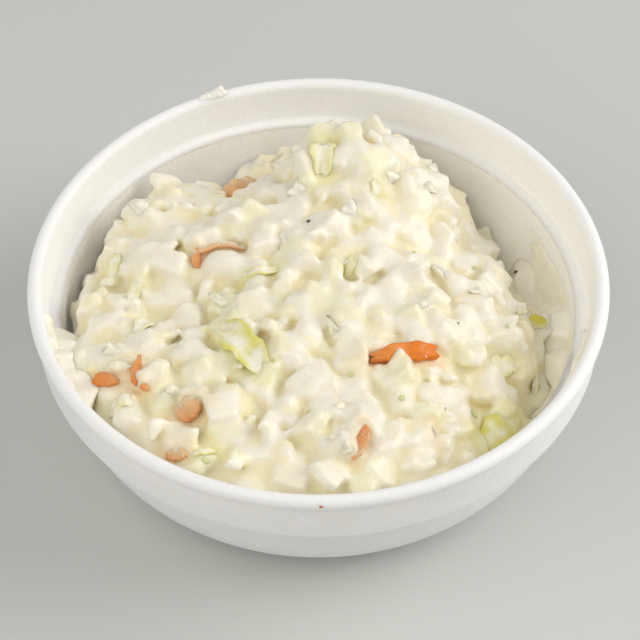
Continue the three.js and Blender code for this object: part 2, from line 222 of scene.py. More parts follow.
# Carrot: x, y of its two ends, width, thickness, bend, lean in degrees, lift, paleness, dressing.
CARROTS = (
    (24.3, -18.0, 10.7, -22.2, 4.1, 2.4, -0.3, -30, 1.3, 0.00, 0.09),
    (-45.4, -25.0, -40.0, -27.3, 3.0, 1.5, 0.0, 25, 1.1, 0.18, 0.12),
    (-36.6, -28.6, -36.0, -22.4, 1.9, 1.5, 0.2, 10, 0.8, 0.28, 0.12),
    (-28.0, -35.9, -22.7, -34.2, 4.6, 1.7, 0.0, 30, 0.3, 0.66, 0.27),
    (-25.2, 4.0, -25.5, 8.6, 1.9, 1.4, 0.2, 10, 0.7, 0.42, 0.14),
    (-24.8, 7.6, -15.6, 8.4, 1.3, 1.0, 1.3, 25, 0.3, 1.00, 0.25),
    (-20.0, 29.5, -12.1, 35.5, 6.2, 2.2, 0.5, 35, 0.8, 0.66, 0.12),
    (9.4, -39.2, 7.1, -46.6, 2.3, 1.6, 0.4, 10, 0.5, 0.40, 0.18),
    (-30.0, -43.4, -25.6, -44.9, 3.4, 1.6, 0.0, 20, 0.2, 0.90, 0.28),
    (-35.3, -29.0, -33.9, -29.5, 1.3, 0.9, 0.0, 20, 0.5, 0.35, 0.10),
    (22.2, -36.6, 23.3, -39.1, 2.0, 1.2, 0.0, 20, 0.0, 0.95, 0.30),
)
# The smooth rib: x, y, its size each way and how far it stands up (mm), and its turn in radians.
RIB_X, RIB_Y, RIB_SIZE, RIB_LIFT, RIB_TURN = -19.0, 4.6, (5.0, 3.4, 3.0), 0.7, -0.2
# The olive chip: x, y, length, width, thickness and lift (mm), and its tilt in radians.
CHIP_X, CHIP_Y, CHIP_SIZE, CHIP_LIFT, CHIP_TILT = 46.3, 1.0, (3.9, 3.0, 0.6), 0.7, 0.55
# The orange crumb on the rim: its place and size in millimetres.
CRUMB_PLACE, CRUMB_SIZE = (0.5, -59.9, 37.9), (0.6, 0.4, 0.4)
# Bare cabbage keeps off this spot: x, y and radius in millimetres.
DRESSED_SPOT = (45, -18, 5)

# How pieces of each kind are scattered: size and lift in millimetres, and how far they lean.
LARGE_SCATTER = ((2.6, 5.0), (-1.5, 0.2), 0.9)
MEDIUM_SCATTER = ((2.4, 5.0), (-0.5, 0.7), 0.8)
SMALL_SCATTER = ((1.2, 2.4), (-0.3, 0.7), 1.0)
BARE_SCATTER = ((2.3, 4.2), (-0.9, 0.1), 0.45)

# Golden patches: x, y of two ends and width in millimetres. Their tone is the leaf's seen through the
# dressing, with painted shade that deepens in the hollows.
GOLDEN_TONE_AND_SHADE = (
    (34.0, -30.5, 39.5, -29.0, 1.8), (37.5, -34.0, 40.5, -30.5, 3.0), (31.8, -22.0, 33.0, -24.0, 1.4),
    (45.5, -24.0, 46.5, -20.0, 1.5), (-47.0, -28.0, -45.5, -30.5, 1.6),
)
# What shows through the dressing: the tints of the pieces and how common each of them is, and the glow
# round carrot, leaf and golden patches; the golden patches are partly leaf tone and partly painted shade.
PIECE_TINTS = (WHITE, (0.97, 0.985, 0.86), (1.0, 0.965, 0.84), (0.99, 0.99, 0.94))
TINT_SHARES = (0.55, 0.12, 0.13, 0.2)
BARE_TINT_SHARES = (2, 3, 2, 3)
CARROT_GLOW = (1.0, 0.84, 0.66)
LEAF_GLOW = (0.98, 0.985, 0.76)
GOLDEN_GLOW = (0.90, 0.82, 0.45)
RIM_DRESSING = (0.95, 0.925, 0.87)
FLECK_SHADE = (0.70, 0.85, 0.6)
OLIVE_SHADE = (0.88, 0.82, 0.5)
PALE_PEPPER = (0.22, 0.17, 0.08)
# Dressing on the wall: angles round the bowl in degrees, heights, thickness, reach (mm), seed.
FILMS = (
    ((-16, 31), (6.0, 25.0), 0.32, 4.5, 3),
    ((-74, -8), (12.0, 35.6), 0.35, 3.4, 5),
    ((187, 216), (20.0, 37.6), 1.5, 6.0, 8),
)
# The smear of dressing on the rim, as balls that melt together: x, y, z and radius in millimetres.
SMEAR = (
    (-26.0, 52.6, 38.5, 0.7), (-25.1, 53.0, 38.7, 0.9), (-24.1, 53.4, 38.8, 1.0), (-23.1, 53.8, 38.9, 1.1),
    (-22.2, 54.2, 39.1, 1.2), (-21.6, 54.5, 39.7, 1.0), (-21.5, 54.6, 40.2, 0.6), (-20.8, 54.6, 38.8, 0.8),
)
# Pepper on the heap: x, y and size in millimetres.
SPECKS = ((-2.0, 13.4, 0.42), (-3.9, 22.1, 0.42), (28.6, -10.5, 0.26))
# The speck by the right wall: its place, the offset it is thrown from, and its size in millimetres.
WALL_SPECK, WALL_SPECK_FROM, WALL_SPECK_SIZE = (43.2, 24.4, 13.2), (0, -33, 37), 0.45
# The way the camera looks: a little below the rim's middle, which lifts the bowl in the frame.
CAMERA_AIM = Vector((0.00058, 0.668696, -0.743536))
SENSOR = 36  # millimetres
# Lamps: name, place and size in metres, and tone.
KEY_LIGHT = ("key_light", (0.90, 0.06, 0.58), 0.8, (1.0, 0.99, 0.98))
FILL_LIGHT = ("fill_light", (-0.68, -0.44, 0.86), 1.2, (1, 0.99, 0.96))
SKY_TONE = (1.0, 0.985, 0.94)
LAMP_TARGET = Vector((0, 0, 0.03))


# ---------------------------------------------------------------- meshes, by hand and from arrays
def deselect_all():
    """Nothing is selected and Object Mode is on."""
    if bpy.context.object and bpy.context.object.mode != "OBJECT":
        bpy.ops.object.mode_set(mode="OBJECT")
    bpy.ops.object.select_all(action="DESELECT")


def select_only(piece):
    """Only this piece is selected, and it is active."""
    deselect_all()
    piece.select_set(True)
    bpy.context.view_layer.objects.active = piece


def added(name):
    """The primitive that was just added, under its own name."""
    piece = bpy.context.object
    piece.name = piece.data.name = name
    return piece


def edit_whole(piece):
    """Edit Mode, with all of this piece selected."""
    select_only(piece)
    bpy.ops.object.mode_set(mode="EDIT")
    bpy.ops.mesh.select_all(action="SELECT")


def leave_edit():
    """Back to Object Mode."""
    bpy.ops.object.mode_set(mode="OBJECT")


def apply_modifier(piece, kind, **settings):
    """Adds a modifier with these settings and applies it."""
    select_only(piece)
    modifier = piece.modifiers.new(kind.title(), kind)
    for key, value in settings.items():
        setattr(modifier, key, value)
    bpy.ops.object.modifier_apply(modifier=modifier.name)


def remesh(piece, grain):
    """One closed skin over all that the piece holds."""
    apply_modifier(piece, "REMESH", mode="VOXEL", voxel_size=grain)


def smooth_out(piece, rounds):
    """Softens the surface."""
    apply_modifier(piece, "SMOOTH", factor=0.5, iterations=rounds)


def roughen(piece, size, strength):
    """Swells and sinks the surface by a cloudy noise."""
    clouds = bpy.data.textures.new("unevenness", "CLOUDS")
    clouds.noise_scale = size
    clouds.noise_depth = 2
    apply_modifier(piece, "DISPLACE", texture=clouds, strength=strength, mid_level=0.5)


def clean_solid(piece):
    """Merges doubles and points every face outwards."""
    edit_whole(piece)
    bpy.ops.mesh.remove_doubles(threshold=1e-6)
    bpy.ops.mesh.normals_make_consistent(inside=False)
    leave_edit()


def coordinates(mesh):
    """The mesh's vertices as an array."""
    flat = np.empty(len(mesh.vertices) * 3)
    mesh.vertices.foreach_get("co", flat)
    return flat.reshape(-1, 3)


def set_coordinates(mesh, points):
    """Moves the mesh's vertices."""
    mesh.vertices.foreach_set("co", np.asarray(points, float).ravel())
    mesh.update()


def facing(piece):
    """The mesh's vertex normals as an array."""
    flat = np.empty(len(piece.data.vertices) * 3)
    piece.data.vertices.foreach_get("normal", flat)
    return flat.reshape(-1, 3)


def mesh_edges(mesh):
    """The mesh's edges as an array of vertex pairs."""
    flat = np.empty(len(mesh.edges) * 2, int)
    mesh.edges.foreach_get("vertices", flat)
    return flat.reshape(-1, 2)


def neighbour_middles(edges, count):
    """A function that gives the middle of each point's neighbours."""
    ends = np.concatenate([edges[:, 0], edges[:, 1]])
    starts = np.concatenate([edges[:, 1], edges[:, 0]])
    degree = np.bincount(ends, minlength=count).clip(1)[:, None]

    def middles(points):
        sums = np.stack([np.bincount(ends, points[starts, k], count) for k in range(3)], 1)
        return sums / degree

    return middles


def neighbour_mean(points, edges, rounds):
    """The points after so many rounds of moving each towards the middle of its neighbours."""
    middles = neighbour_middles(edges, len(points))
    for _ in range(rounds):
        points = 0.4 * points + 0.6 * middles(points)
    return points


def noise_over(across, up, stretch, seed):
    """A noise value at each point of a sheet, where stretch says how fast it changes each way."""
    places = zip(stretch[0] * across, stretch[1] * up)
    return np.array([noise.noise(Vector((a, b, seed))) for a, b in places])


def mesh_piece(name, points, faces):
    """A new object from arrays of points and faces."""
    mesh = bpy.data.meshes.new(name)
    mesh.from_pydata([tuple(p) for p in points], [], faces)
    piece = bpy.data.objects.new(name, mesh)
    bpy.context.scene.collection.objects.link(piece)
    return piece


def mesh_copy(node, name):
    """A copy of a CAD node's mesh as a new object, its doubles merged."""
    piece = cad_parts[node].copy()
    piece.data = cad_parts[node].data.copy()
    piece.name = piece.data.name = name
    piece.parent = None
    for key in list(piece.keys()):
        del piece[key]
    bpy.context.scene.collection.objects.link(piece)
    edit_whole(piece)
    bpy.ops.mesh.remove_doubles(threshold=1e-6)
    leave_edit()
    return piece


def copies(name, placed):
    """One mesh that joins a copy of a shape for each (shape, matrix) pair."""
    points, faces, first = [], [], 0
    for shape, matrix in placed:
        turn = np.array(matrix.to_3x3())
        here = shape["points"] @ turn.T + np.array(matrix.translation)
        points.append(here)
        faces.extend([tuple(first + i for i in face) for face in shape["faces"]])
        first += len(here)
    return mesh_piece(name, np.concatenate(points), faces)


def shape_of(piece):
    """The piece's points and faces as a shape to copy; the piece itself is removed."""
    shape = {
        "points": coordinates(piece.data),
        "faces": [tuple(p.vertices) for p in piece.data.polygons],
    }
    bpy.data.objects.remove(piece)
    return shape


def joined(pieces, name):
    """The pieces as one object."""
    select_only(pieces[0])
    for piece in pieces:
        piece.select_set(True)
    bpy.ops.object.join()
    return added(name)


def keep_largest(piece):
    """Drops every loose scrap and inner shell but the largest joined mesh."""
    mesh = piece.data
    label = np.arange(len(mesh.vertices))
    edges = mesh_edges(mesh)
    while True:
        low = np.minimum(label[edges[:, 0]], label[edges[:, 1]])
        before = label.copy()
        np.minimum.at(label, edges[:, 0], low)
        np.minimum.at(label, edges[:, 1], low)
        label = label[label]
        if (label == before).all():
            break
    largest = np.bincount(label).argmax()
    shape = bmesh.new()
    shape.from_mesh(mesh)
    shape.verts.ensure_lookup_table()
    loose = [shape.verts[i] for i in np.flatnonzero(label != largest)]
    bmesh.ops.delete(shape, geom=loose, context="VERTS")
    shape.to_mesh(mesh)
    shape.free()
    mesh.update()


# ---------------------------------------------------------------- finding a place on the heap
def tree_of(name):
    """A search tree over the faces of a named object."""
    shape = bmesh.new()
    shape.from_mesh(bpy.data.objects[name].data)
    tree = BVHTree.FromBMesh(shape)
    shape.free()
    return tree


def under(tree, x, y):
    """Where the surface lies below (x, y), or None where there is none."""
    spot, _, _, _ = tree.ray_cast(Vector((x, y, 0.2)), -UP)
    return spot


def resting_place(tree, x, y, reach):
    """Middle and upward normal of the surface under a piece that reaches so far each way."""
    middle = under(tree, x, y)
    if middle is None:
        return None, None
    spots = []
    for turn in (0.5, 2.6, 4.7):
        place = (x + reach * math.cos(turn), y + reach * math.sin(turn))
        spots.append(under(tree, *place) or Vector((*place, middle.z)))
    normal = (spots[1] - spots[0]).cross(spots[2] - spots[0]).normalized()
    height = (middle.z + sum(s.z for s in spots)) / 4
    return Vector((x, y, height)), normal if normal.z > 0 else -normal


def laid(spot, normal, turn, lean=0.0, lean_towards=0.0, lift=0.0, size=1.0):
    """A matrix that turns a shape about its upright, leans it and lays it on a sloping surface."""
    slope = UP.rotation_difference(normal)
    axis = Vector((math.cos(lean_towards), math.sin(lean_towards), 0))
    turned = slope @ Quaternion(axis, lean) @ Quaternion(UP, turn)
    return Matrix.LocRotScale(spot + lift * normal, turned, (size, size, size))


# ---------------------------------------------------------------- the foam's form
def side_curve(top, foot, steps, power=2.14):
    """A rounded side from (radius, z) top to foot, level where it meets the base."""
    points = []
    for i in range(steps + 1):
        turn = math.pi / 2 * i / steps
        out = max(math.cos(turn), 0.0) ** (2 / power)
        down = math.sin(turn) ** (2 / power)
        points.append((foot[0] + (top[0] - foot[0]) * out, top[1] - (top[1] - foot[1]) * down))
    return points


def arc(centre, radius, start, end, steps):
    """Points round a centre, from start to end degrees."""
    points = []
    for i in range(steps + 1):
        turn = math.radians(start + (end - start) * i / steps)
        points.append((centre[0] + radius * math.cos(turn), centre[1] + radius * math.sin(turn)))
    return points


def inside_outline(bowl):
    """The foam's inner face, from the rim bead down to the floor."""
    band_foot = bowl.rim_radius - bowl.band_inset - bowl.band_taper
    side_top = band_foot - bowl.shoulder_step
    setback, flare, dip = 1.0 * MM, 0.35 * MM, 0.25 * MM
    round_in, round_out = 0.5 * MM, 0.6 * MM
    wall_top = bowl.rim_radius - 2 * bowl.bead_radius - setback
    ledge = bowl.height - bowl.ledge_depth
    inner = wall_top - round_out - bowl.ledge_width
    return [
        (wall_top + flare, bowl.height - 5.0 * MM),
        (wall_top + 0.05 * MM, ledge + 1.6 * MM),
        *arc((wall_top - round_out, ledge + round_out), round_out, 0, -90, 5),
        *arc((inner - round_in, ledge - dip - round_in), round_in, 70, 15, 4),
        *side_curve(
            (side_top - 1.7 * MM, ledge - 1.2 * MM),
            (bowl.foot_radius - bowl.wall / 2, bowl.foot_recess + bowl.wall),
            22,
        ),
    ]


def bowl_outline(bowl):
    """The whole section of the bowl, from the axis under the base round to the axis inside."""
    band_top = bowl.rim_radius - bowl.band_inset
    band_foot = band_top - bowl.band_taper
    side_top = band_foot - bowl.shoulder_step
    shoulder = bowl.height - bowl.band_depth
    bead = (bowl.rim_radius - bowl.bead_radius, bowl.height - bowl.bead_radius)
    under_bead = bead[1] - 1.25 * bowl.bead_radius
    step, fillet = 0.35 * MM, 0.8 * MM
    ring_inside = bowl.foot_radius - bowl.foot_ring
    outside = side_curve((side_top, shoulder - fillet), (bowl.foot_radius, 0.0), 22)
    return [
        (0.0, bowl.foot_recess),
        (ring_inside - 1.2 * MM, bowl.foot_recess),
        (ring_inside - 0.3 * MM, 0.25 * MM),
        (ring_inside + 0.3 * MM, 0.0),
        *reversed(outside),
        *arc((side_top + step, shoulder - fillet), step, 180, 90, 4)[1:],
        (band_foot - 1.4 * step, shoulder - step),
        *arc((band_foot - step, shoulder), step, -80, 0, 5),
        (band_top - 0.12 * MM, under_bead - 1.2 * MM),
        (band_top - 0.02 * MM, under_bead),
        *arc(bead, bowl.bead_radius, -50, 185, 26),
        *inside_outline(bowl),
        (0.0, bowl.foot_recess + bowl.wall),
    ]


def foam_radius(bowl, z):
    """Radius of the foam's inner face at each height; above the rim it opens out."""
    outline = sorted((height, radius) for radius, height in inside_outline(bowl))
    heights = [p[0] for p in outline] + [bowl.height - bowl.bead_radius, bowl.height]
    rim = bowl.rim_radius
    radii = [p[1] for p in outline] + [rim - 2 * bowl.bead_radius, rim - bowl.bead_radius]
    inner = np.interp(z, heights, radii)
    return np.where(np.asarray(z) > bowl.height, rim - 2 * MM, inner)


def clear_of_foam(bowl, piece, gap):
    """Moves the piece's points in and up where they come nearer to the foam than the gap."""
    points = coordinates(piece.data)
    points[:, 2] = np.maximum(points[:, 2], bowl.foot_recess + bowl.wall + gap)
    radius = np.hypot(points[:, 0], points[:, 1])
    limit = foam_radius(bowl, points[:, 2]) - gap
    over = (radius > limit) & (points[:, 2] < bowl.height + gap)
    points[over, :2] *= (limit[over] / radius[over])[:, None]
    set_coordinates(piece.data, points)


# ---------------------------------------------------------------- shader nodes
def put(tree, kind, settings=None, **inputs):
    """Adds a shader node; an input is a number, a colour or an output to link."""
    new = tree.nodes.new(kind)
    for key, value in (settings or {}).items():
        setattr(new, key, value)
    for key, value in inputs.items():
        feed(tree, new.inputs[key.replace("_", " ")], value)
    return new


def feed(tree, socket, value):
    """Sets a socket, or links an output to it."""
    if isinstance(value, bpy.types.NodeSocket):
        tree.links.new(value, socket)
    else:
        socket.default_value = value


def calculate(tree, operation, first, second=0.5):
    """A Math node's result."""
    new = tree.nodes.new("ShaderNodeMath")
    new.operation = operation
    feed(tree, new.inputs[0], first)
    feed(tree, new.inputs[1], second)
    return new.outputs[0]


def times(tree, first, second):
    """Two values multiplied."""
    return calculate(tree, "MULTIPLY", first, second)


def plus(tree, first, second):
    """Two values added."""
    return calculate(tree, "ADD", first, second)


def blend_colours(tree, share, first, second, blend="MIX"):
    """A Mix node's colour."""
    new = tree.nodes.new("ShaderNodeMix")
    new.data_type = "RGBA"
    new.blend_type = blend
    feed(tree, new.inputs[0], share)
    feed(tree, new.inputs[6], first)
    feed(tree, new.inputs[7], second)
    return new.outputs[2]


def tinted(tree, base, tone):
    """A colour multiplied by a tone."""
    return blend_colours(tree, 1.0, base, tone, "MULTIPLY")


def spread(tree, value, low, high, to_low=0.0, to_high=1.0):
    """A Map Range node's result: smooth, from low..high to the two last values."""
    settings = {"interpolation_type": "SMOOTHSTEP"}
    new = put(tree, "ShaderNodeMapRange", settings, Value=value, From_Min=low, From_Max=high)
    new.inputs["To Min"].default_value = to_low
    new.inputs["To Max"].default_value = to_high
    return new.outputs[0]


def object_place(tree):
    """Object coordinates."""
    return put(tree, "ShaderNodeTexCoord").outputs["Object"]


def speckle(tree, scale, detail=3.0, rough=0.55, place=None):
    """A Noise texture's value over Object coordinates, or over the given place."""
    settings = {"noise_dimensions": "3D"}
    place = place or object_place(tree)
    new = put(tree, "ShaderNodeTexNoise", settings, Vector=place, Scale=scale, Detail=detail)
    new.inputs["Roughness"].default_value = rough
    return new.outputs[0]


def attribute(tree, name, output="Fac"):
    """A number kept on the mesh's vertices, or a colour where the output is Color."""
    return put(tree, "ShaderNodeAttribute", {"attribute_name": name}).outputs[output]


def rgba(three):
    """A colour with full alpha."""
    return (*three, 1.0)


def new_group(name, inputs, outputs):
    """A shader node group with named sockets, and its two end nodes."""
    group = bpy.data.node_groups.new(name, "ShaderNodeTree")
    for label, kind, value in inputs:
        socket = group.interface.new_socket(name=label, in_out="INPUT", socket_type=kind)
        socket.default_value = value
    for label, kind in outputs:
        group.interface.new_socket(name=label, in_out="OUTPUT", socket_type=kind)
    return group, group.nodes.new("NodeGroupInput"), group.nodes.new("NodeGroupOutput")


def wet_skin_group():
    """Fine unevenness of a wet surface: Height for a bump, and an uneven Roughness."""
    name = "wet_skin"
    if name in bpy.data.node_groups:
        return bpy.data.node_groups[name]
    group, given, result = new_group(
        name,
        [("Scale", "NodeSocketFloat", 900.0), ("Roughness", "NodeSocketFloat", 0.3)],
        [("Height", "NodeSocketFloat"), ("Roughness", "NodeSocketFloat")],
    )
    scale, rough = given.outputs["Scale"], given.outputs["Roughness"]
    soft = speckle(group, scale, 2.0, 0.5)
    fine = speckle(group, times(group, scale, 3.1), 2.0, 0.6)
    height = plus(group, soft, times(group, fine, 0.35))
    patches = speckle(group, times(group, scale, 0.35), 2.0, 0.5)
    uneven = spread(group, patches, 0.35, 0.7, 0.75, 1.5)
    feed(group, result.inputs["Height"], height)
    feed(group, result.inputs["Roughness"], times(group, rough, uneven))
    return group


def dressing_group():
    """Dressing that clings to a piece: where Clings is high, cream hides the piece's own colour."""
    name = "clinging_dressing"
    if name in bpy.data.node_groups:
        return bpy.data.node_groups[name]
    group, given, result = new_group(
        name,
        [
            ("Piece", "NodeSocketColor", (0.8, 0.8, 0.6, 1)),
            ("Cream", "NodeSocketColor", (0.9, 0.87, 0.76, 1)),
            ("Clings", "NodeSocketFloat", 0.5),
            ("Scale", "NodeSocketFloat", 320.0),
        ],
        [("Color", "NodeSocketColor"), ("Mask", "NodeSocketFloat")],
    )
    patches = speckle(group, given.outputs["Scale"], 3.0, 0.6)
    level = plus(group, patches, given.outputs["Clings"])
    mask = spread(group, level, 0.85, 1.12)
    shown = blend_colours(group, mask, given.outputs["Piece"], given.outputs["Cream"])
    feed(group, result.inputs["Color"], shown)
    feed(group, result.inputs["Mask"], mask)
    return group


def use_group(tree, group, **inputs):
    """Places a node group in a material."""
    new = tree.nodes.new("ShaderNodeGroup")
    new.node_tree = group
    for key, value in inputs.items():
        feed(tree, new.inputs[key], value)
    return new


def wet_skin(tree, shader, scale, roughness):
    """Gives the shader an uneven wet roughness, and returns the skin's height for a bump."""
    skin = use_group(tree, wet_skin_group(), Scale=scale, Roughness=roughness)
    feed(tree, shader.inputs["Roughness"], skin.outputs["Roughness"])
    return skin.outputs["Height"]


def start_material(name, **fixed):
    """A material with its Principled shader's plain numbers set, as (material, tree, shader)."""
    material = bpy.data.materials.new(name)
    material.use_nodes = True
    tree = material.node_tree
    shader = tree.nodes["Principled BSDF"]
    for key, value in fixed.items():
        shader.inputs[key.replace("_", " ")].default_value = value
    return material, tree, shader


def bump(tree, shader, height, distance, strength=1.0):
    """A Bump node into the shader's Normal."""
    new = put(tree, "ShaderNodeBump", Height=height, Distance=distance, Strength=strength)
    feed(tree, shader.inputs["Normal"], new.outputs[0])


# ---------------------------------------------------------------- materials
def foam_material(bowl):
    """White bead foam: pressed beads that just show, fine painted glints, and painted warm shade low on
    the right inside.
    """
    material, tree, shader = start_material(
        "white_bead_foam",
        Subsurface_Weight=0.7,
        Subsurface_Radius=(1.0, 0.96, 0.88),
        Subsurface_Scale=3.0 * MM,
        Specular_IOR_Level=0.35,
    )
    place = object_place(tree)
    scale = 1.0 / bowl.bead_size
    settings = {"feature": "DISTANCE_TO_EDGE"}
    cells = put(tree, "ShaderNodeTexVoronoi", settings, Vector=place, Scale=scale)
    seam = spread(tree, cells.outputs["Distance"], 0.0, 0.2)
    beads = put(tree, "ShaderNodeTexVoronoi", Vector=place, Scale=scale).outputs["Color"]
    split = put(tree, "ShaderNodeSeparateColor", Color=beads)
    shade = spread(tree, split.outputs[0], 0.0, 1.0, 0.985, 1.0)
    tone = times(tree, shade, spread(tree, seam, 0.0, 1.0, 0.975, 1.0))
    cloud = spread(tree, speckle(tree, 60.0, 3.0), 0.3, 0.75, 0.965, 1.0)
    tone = times(tree, tone, cloud)
    foam = tinted(tree, rgba(bowl.foam), tone)
    # Painted glints: small sparse spots lightened toward white, standing in for light caught by the foam's
    # beads.
    glint_spots = put(tree, "ShaderNodeTexVoronoi", Vector=place, Scale=scale * 0.75)
    painted_glints = spread(tree, glint_spots.outputs["Distance"], 0.06, 0.16, 1.0, 0.0)
    foam = blend_colours(tree, times(tree, painted_glints, 0.35), foam, rgba(WHITE))
    # Painted warm shade inside: inner faces on the right, more of it low down, are multiplied by the
    # bounce shade tone.
    axes = put(tree, "ShaderNodeSeparateXYZ", Vector=place)
    right = spread(tree, axes.outputs[0], -0.01, 0.05)
    low = spread(tree, axes.outputs[2], 0.012, 0.036, 0.6, 0.25)
    bounce_shade_mask = times(tree, times(tree, right, low), attribute(tree, "inner"))
    foam = blend_colours(tree, bounce_shade_mask, foam, rgba(bowl.bounce_shade), "MULTIPLY")
    feed(tree, shader.inputs["Base Color"], foam)
    feed(tree, shader.inputs["Roughness"], spread(tree, seam, 0.0, 1.0, 0.62, 0.48))
    grain = speckle(tree, scale * 2.3, 3.0, 0.6)
    relief = plus(tree, seam, times(tree, grain, 0.8))
    bump(tree, shader, relief, 0.04 * MM, 0.8)
    return material


def cream_material(salad):
    """Thick dressing over chopped cabbage: white on the rises, with warm painted shade in the hollows."""
    material, tree, shader = start_material(
        "dressed_cabbage",
        Subsurface_Weight=0.85,
        Subsurface_Radius=(1.0, 0.92, 0.75),
        Subsurface_Scale=1.9 * MM,
        Specular_IOR_Level=0.45,
        Coat_Roughness=0.2,
    )
    cloud = speckle(tree, 190.0, 3.0, 0.55)
    # Painted shade: the deeper a point lies, with some cloudy unevenness, the more it takes the warm
    # hollow shade colour.
    depth = plus(tree, attribute(tree, "hollow_shade"), spread(tree, cloud, 0.35, 0.75, -0.10, 0.16))
    base = blend_colours(tree, spread(tree, depth, 0.0, 1.0), rgba(salad.cream), rgba(salad.hollow_shade))
    base = tinted(tree, base, attribute(tree, "tint", "Color"))
    threads = speckle(tree, 620.0, 4.0, 0.65)
    flecks = spread(tree, threads, 0.58, 0.74, 0.0, 0.3)
    base = blend_colours(tree, flecks, base, rgba(salad.cabbage))
    feed(tree, shader.inputs["Base Color"], base)
    feed(tree, shader.inputs["Coat Weight"], spread(tree, cloud, 0.3, 0.7, 0.0, 0.2))
    bump(tree, shader, wet_skin(tree, shader, 850.0, 0.35), 0.24 * MM, 0.8)
    return material


def piece_material(name, salad, shine, fibres, darkest):
    """A chopped vegetable: its own colour with fibres across it, veiled by dressing, and wet."""
    material, tree, shader = start_material(
        name,
        Specular_IOR_Level=0.25,
        Coat_Roughness=0.15,
        Coat_Weight=0.06,
    )
    map_place = put(tree, "ShaderNodeUVMap").outputs[0]
    across = put(tree, "ShaderNodeMapping", Vector=map_place)
    across.inputs["Scale"].default_value = (1.0, 0.10, 1.0)
    veins = speckle(tree, fibres, 3.0, 0.6, across.outputs[0])
    tone = spread(tree, veins, 0.34, 0.60, darkest, 1.0)
    base = tinted(tree, attribute(tree, "tint", "Color"), tone)
    coat = use_group(
        tree,
        dressing_group(),
        Piece=base,
        Cream=rgba(salad.cream),
        Clings=plus(tree, attribute(tree, "clings"), spread(tree, veins, 0.5, 0.72, 0, 0.3)),
        Scale=420.0,
    )
    feed(tree, shader.inputs["Base Color"], coat.outputs["Color"])
    relief = plus(tree, wet_skin(tree, shader, 1100.0, shine), veins)
    relief = plus(tree, relief, times(tree, coat.outputs["Mask"], 0.6))
    bump(tree, shader, relief, 0.13 * MM, 0.7)
    return material


def film_material(salad):
    """Thin dressing run down the foam: yellowish and streaked from top to bottom."""
    material, tree, shader = start_material("thin_dressing", Specular_IOR_Level=0.5)
    place = object_place(tree)
    runs = put(tree, "ShaderNodeMapping", Vector=place)
    runs.inputs["Scale"].default_value = (1.0, 1.0, 0.16)
    streaks = speckle(tree, 420.0, 3.0, 0.6, runs.outputs[0])
    tone = spread(tree, streaks, 0.44, 0.72, 0.0, 0.45)
    # The streaks take the hollow shade colour as their darker yellow.
    base = blend_colours(tree, tone, rgba(salad.film), rgba(salad.hollow_shade))
    feed(tree, shader.inputs["Base Color"], base)
    relief = plus(tree, wet_skin(tree, shader, 700.0, 0.34), streaks)
    bump(tree, shader, relief, 0.15 * MM, 0.7)
    return material


def pepper_material(salad):
    """Ground pepper: dark, with paler faces."""
    material, tree, shader = start_material("ground_pepper", Roughness=0.6)
    grain = spread(tree, speckle(tree, 3000.0), 0.4, 0.7, 0.0, 0.5)
    base = blend_colours(tree, grain, rgba(salad.pepper), rgba(PALE_PEPPER))
    feed(tree, shader.inputs["Base Color"], base)
    return material


def floor_material(stage):
    """A plain pale floor."""
    material, tree, shader = start_material("pale_floor", Roughness=0.55)
    tone = spread(tree, speckle(tree, 3.0), 0.3, 0.7, 0.98, 1.0)
    feed(tree, shader.inputs["Base Color"], tinted(tree, rgba(stage.floor), tone))
    return material


# ---------------------------------------------------------------- finishing a piece
def keep_value(piece, name, values):
    """Keeps one number for each vertex, for the materials to read."""
    layer = piece.data.attributes.new(name, "FLOAT", "POINT")
    layer.data.foreach_set("value", np.asarray(values, float).ravel())


def keep_tint(piece, colours):
    """Keeps one colour for each vertex under the name tint."""
    layer = piece.data.attributes.new("tint", "FLOAT_COLOR", "POINT")
    flat = np.ones((len(colours), 4))
    flat[:, :3] = colours
    layer.data.foreach_set("color", flat.ravel())


def cover(piece, colours, clings):
    """Keeps a piece's colour, and how much dressing clings to it, on its points."""
    count = len(piece.data.vertices)
    keep_tint(piece, np.broadcast_to(np.asarray(colours, float), (count, 3)))
    keep_value(piece, "clings", np.broadcast_to(clings, (count,)))


def mixed(first, second, share):
    """A colour between two, or an array of them for an array of shares."""
    share = np.asarray(share, float)[..., None]
    return np.asarray(first, float) * (1 - share) + np.asarray(second, float) * share


def map_from_above(piece):
    """A UV map that looks straight down on the piece."""
    layer = piece.data.uv_layers.new(name="UVMap")
    points = coordinates(piece.data) / MAP_UNIT
    for loop, spot in zip(piece.data.loops, layer.uv):
        spot.vector = points[loop.vertex_index, :2]


def finish_piece(piece, material, nodes=()):
    """Smooth, in its material, riding on the one body, and standing for CAD nodes."""
    select_only(piece)
    bpy.ops.object.shade_smooth()
    piece.data.materials.clear()
    piece.data.materials.append(material)
    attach(piece, "root")
    if nodes:
        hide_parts(*nodes)


# ---------------------------------------------------------------- stage and bowl
def placed_object(name, data, place, aim):
    """A camera or lamp at its place, turned to look along the aim."""
    new = bpy.data.objects.new(name, data)
    bpy.context.scene.collection.objects.link(new)
    new.location = place
    new.rotation_euler = aim.to_track_quat("-Z", "Y").to_euler()
    return new


def lamp(power, name, place, size, tone):
    """A soft square light that faces the bowl."""
    data = bpy.data.lights.new(name, "AREA")
    data.size = size
    data.energy = power
    data.color = tone
    placed_object(name, data, place, LAMP_TARGET - Vector(place))


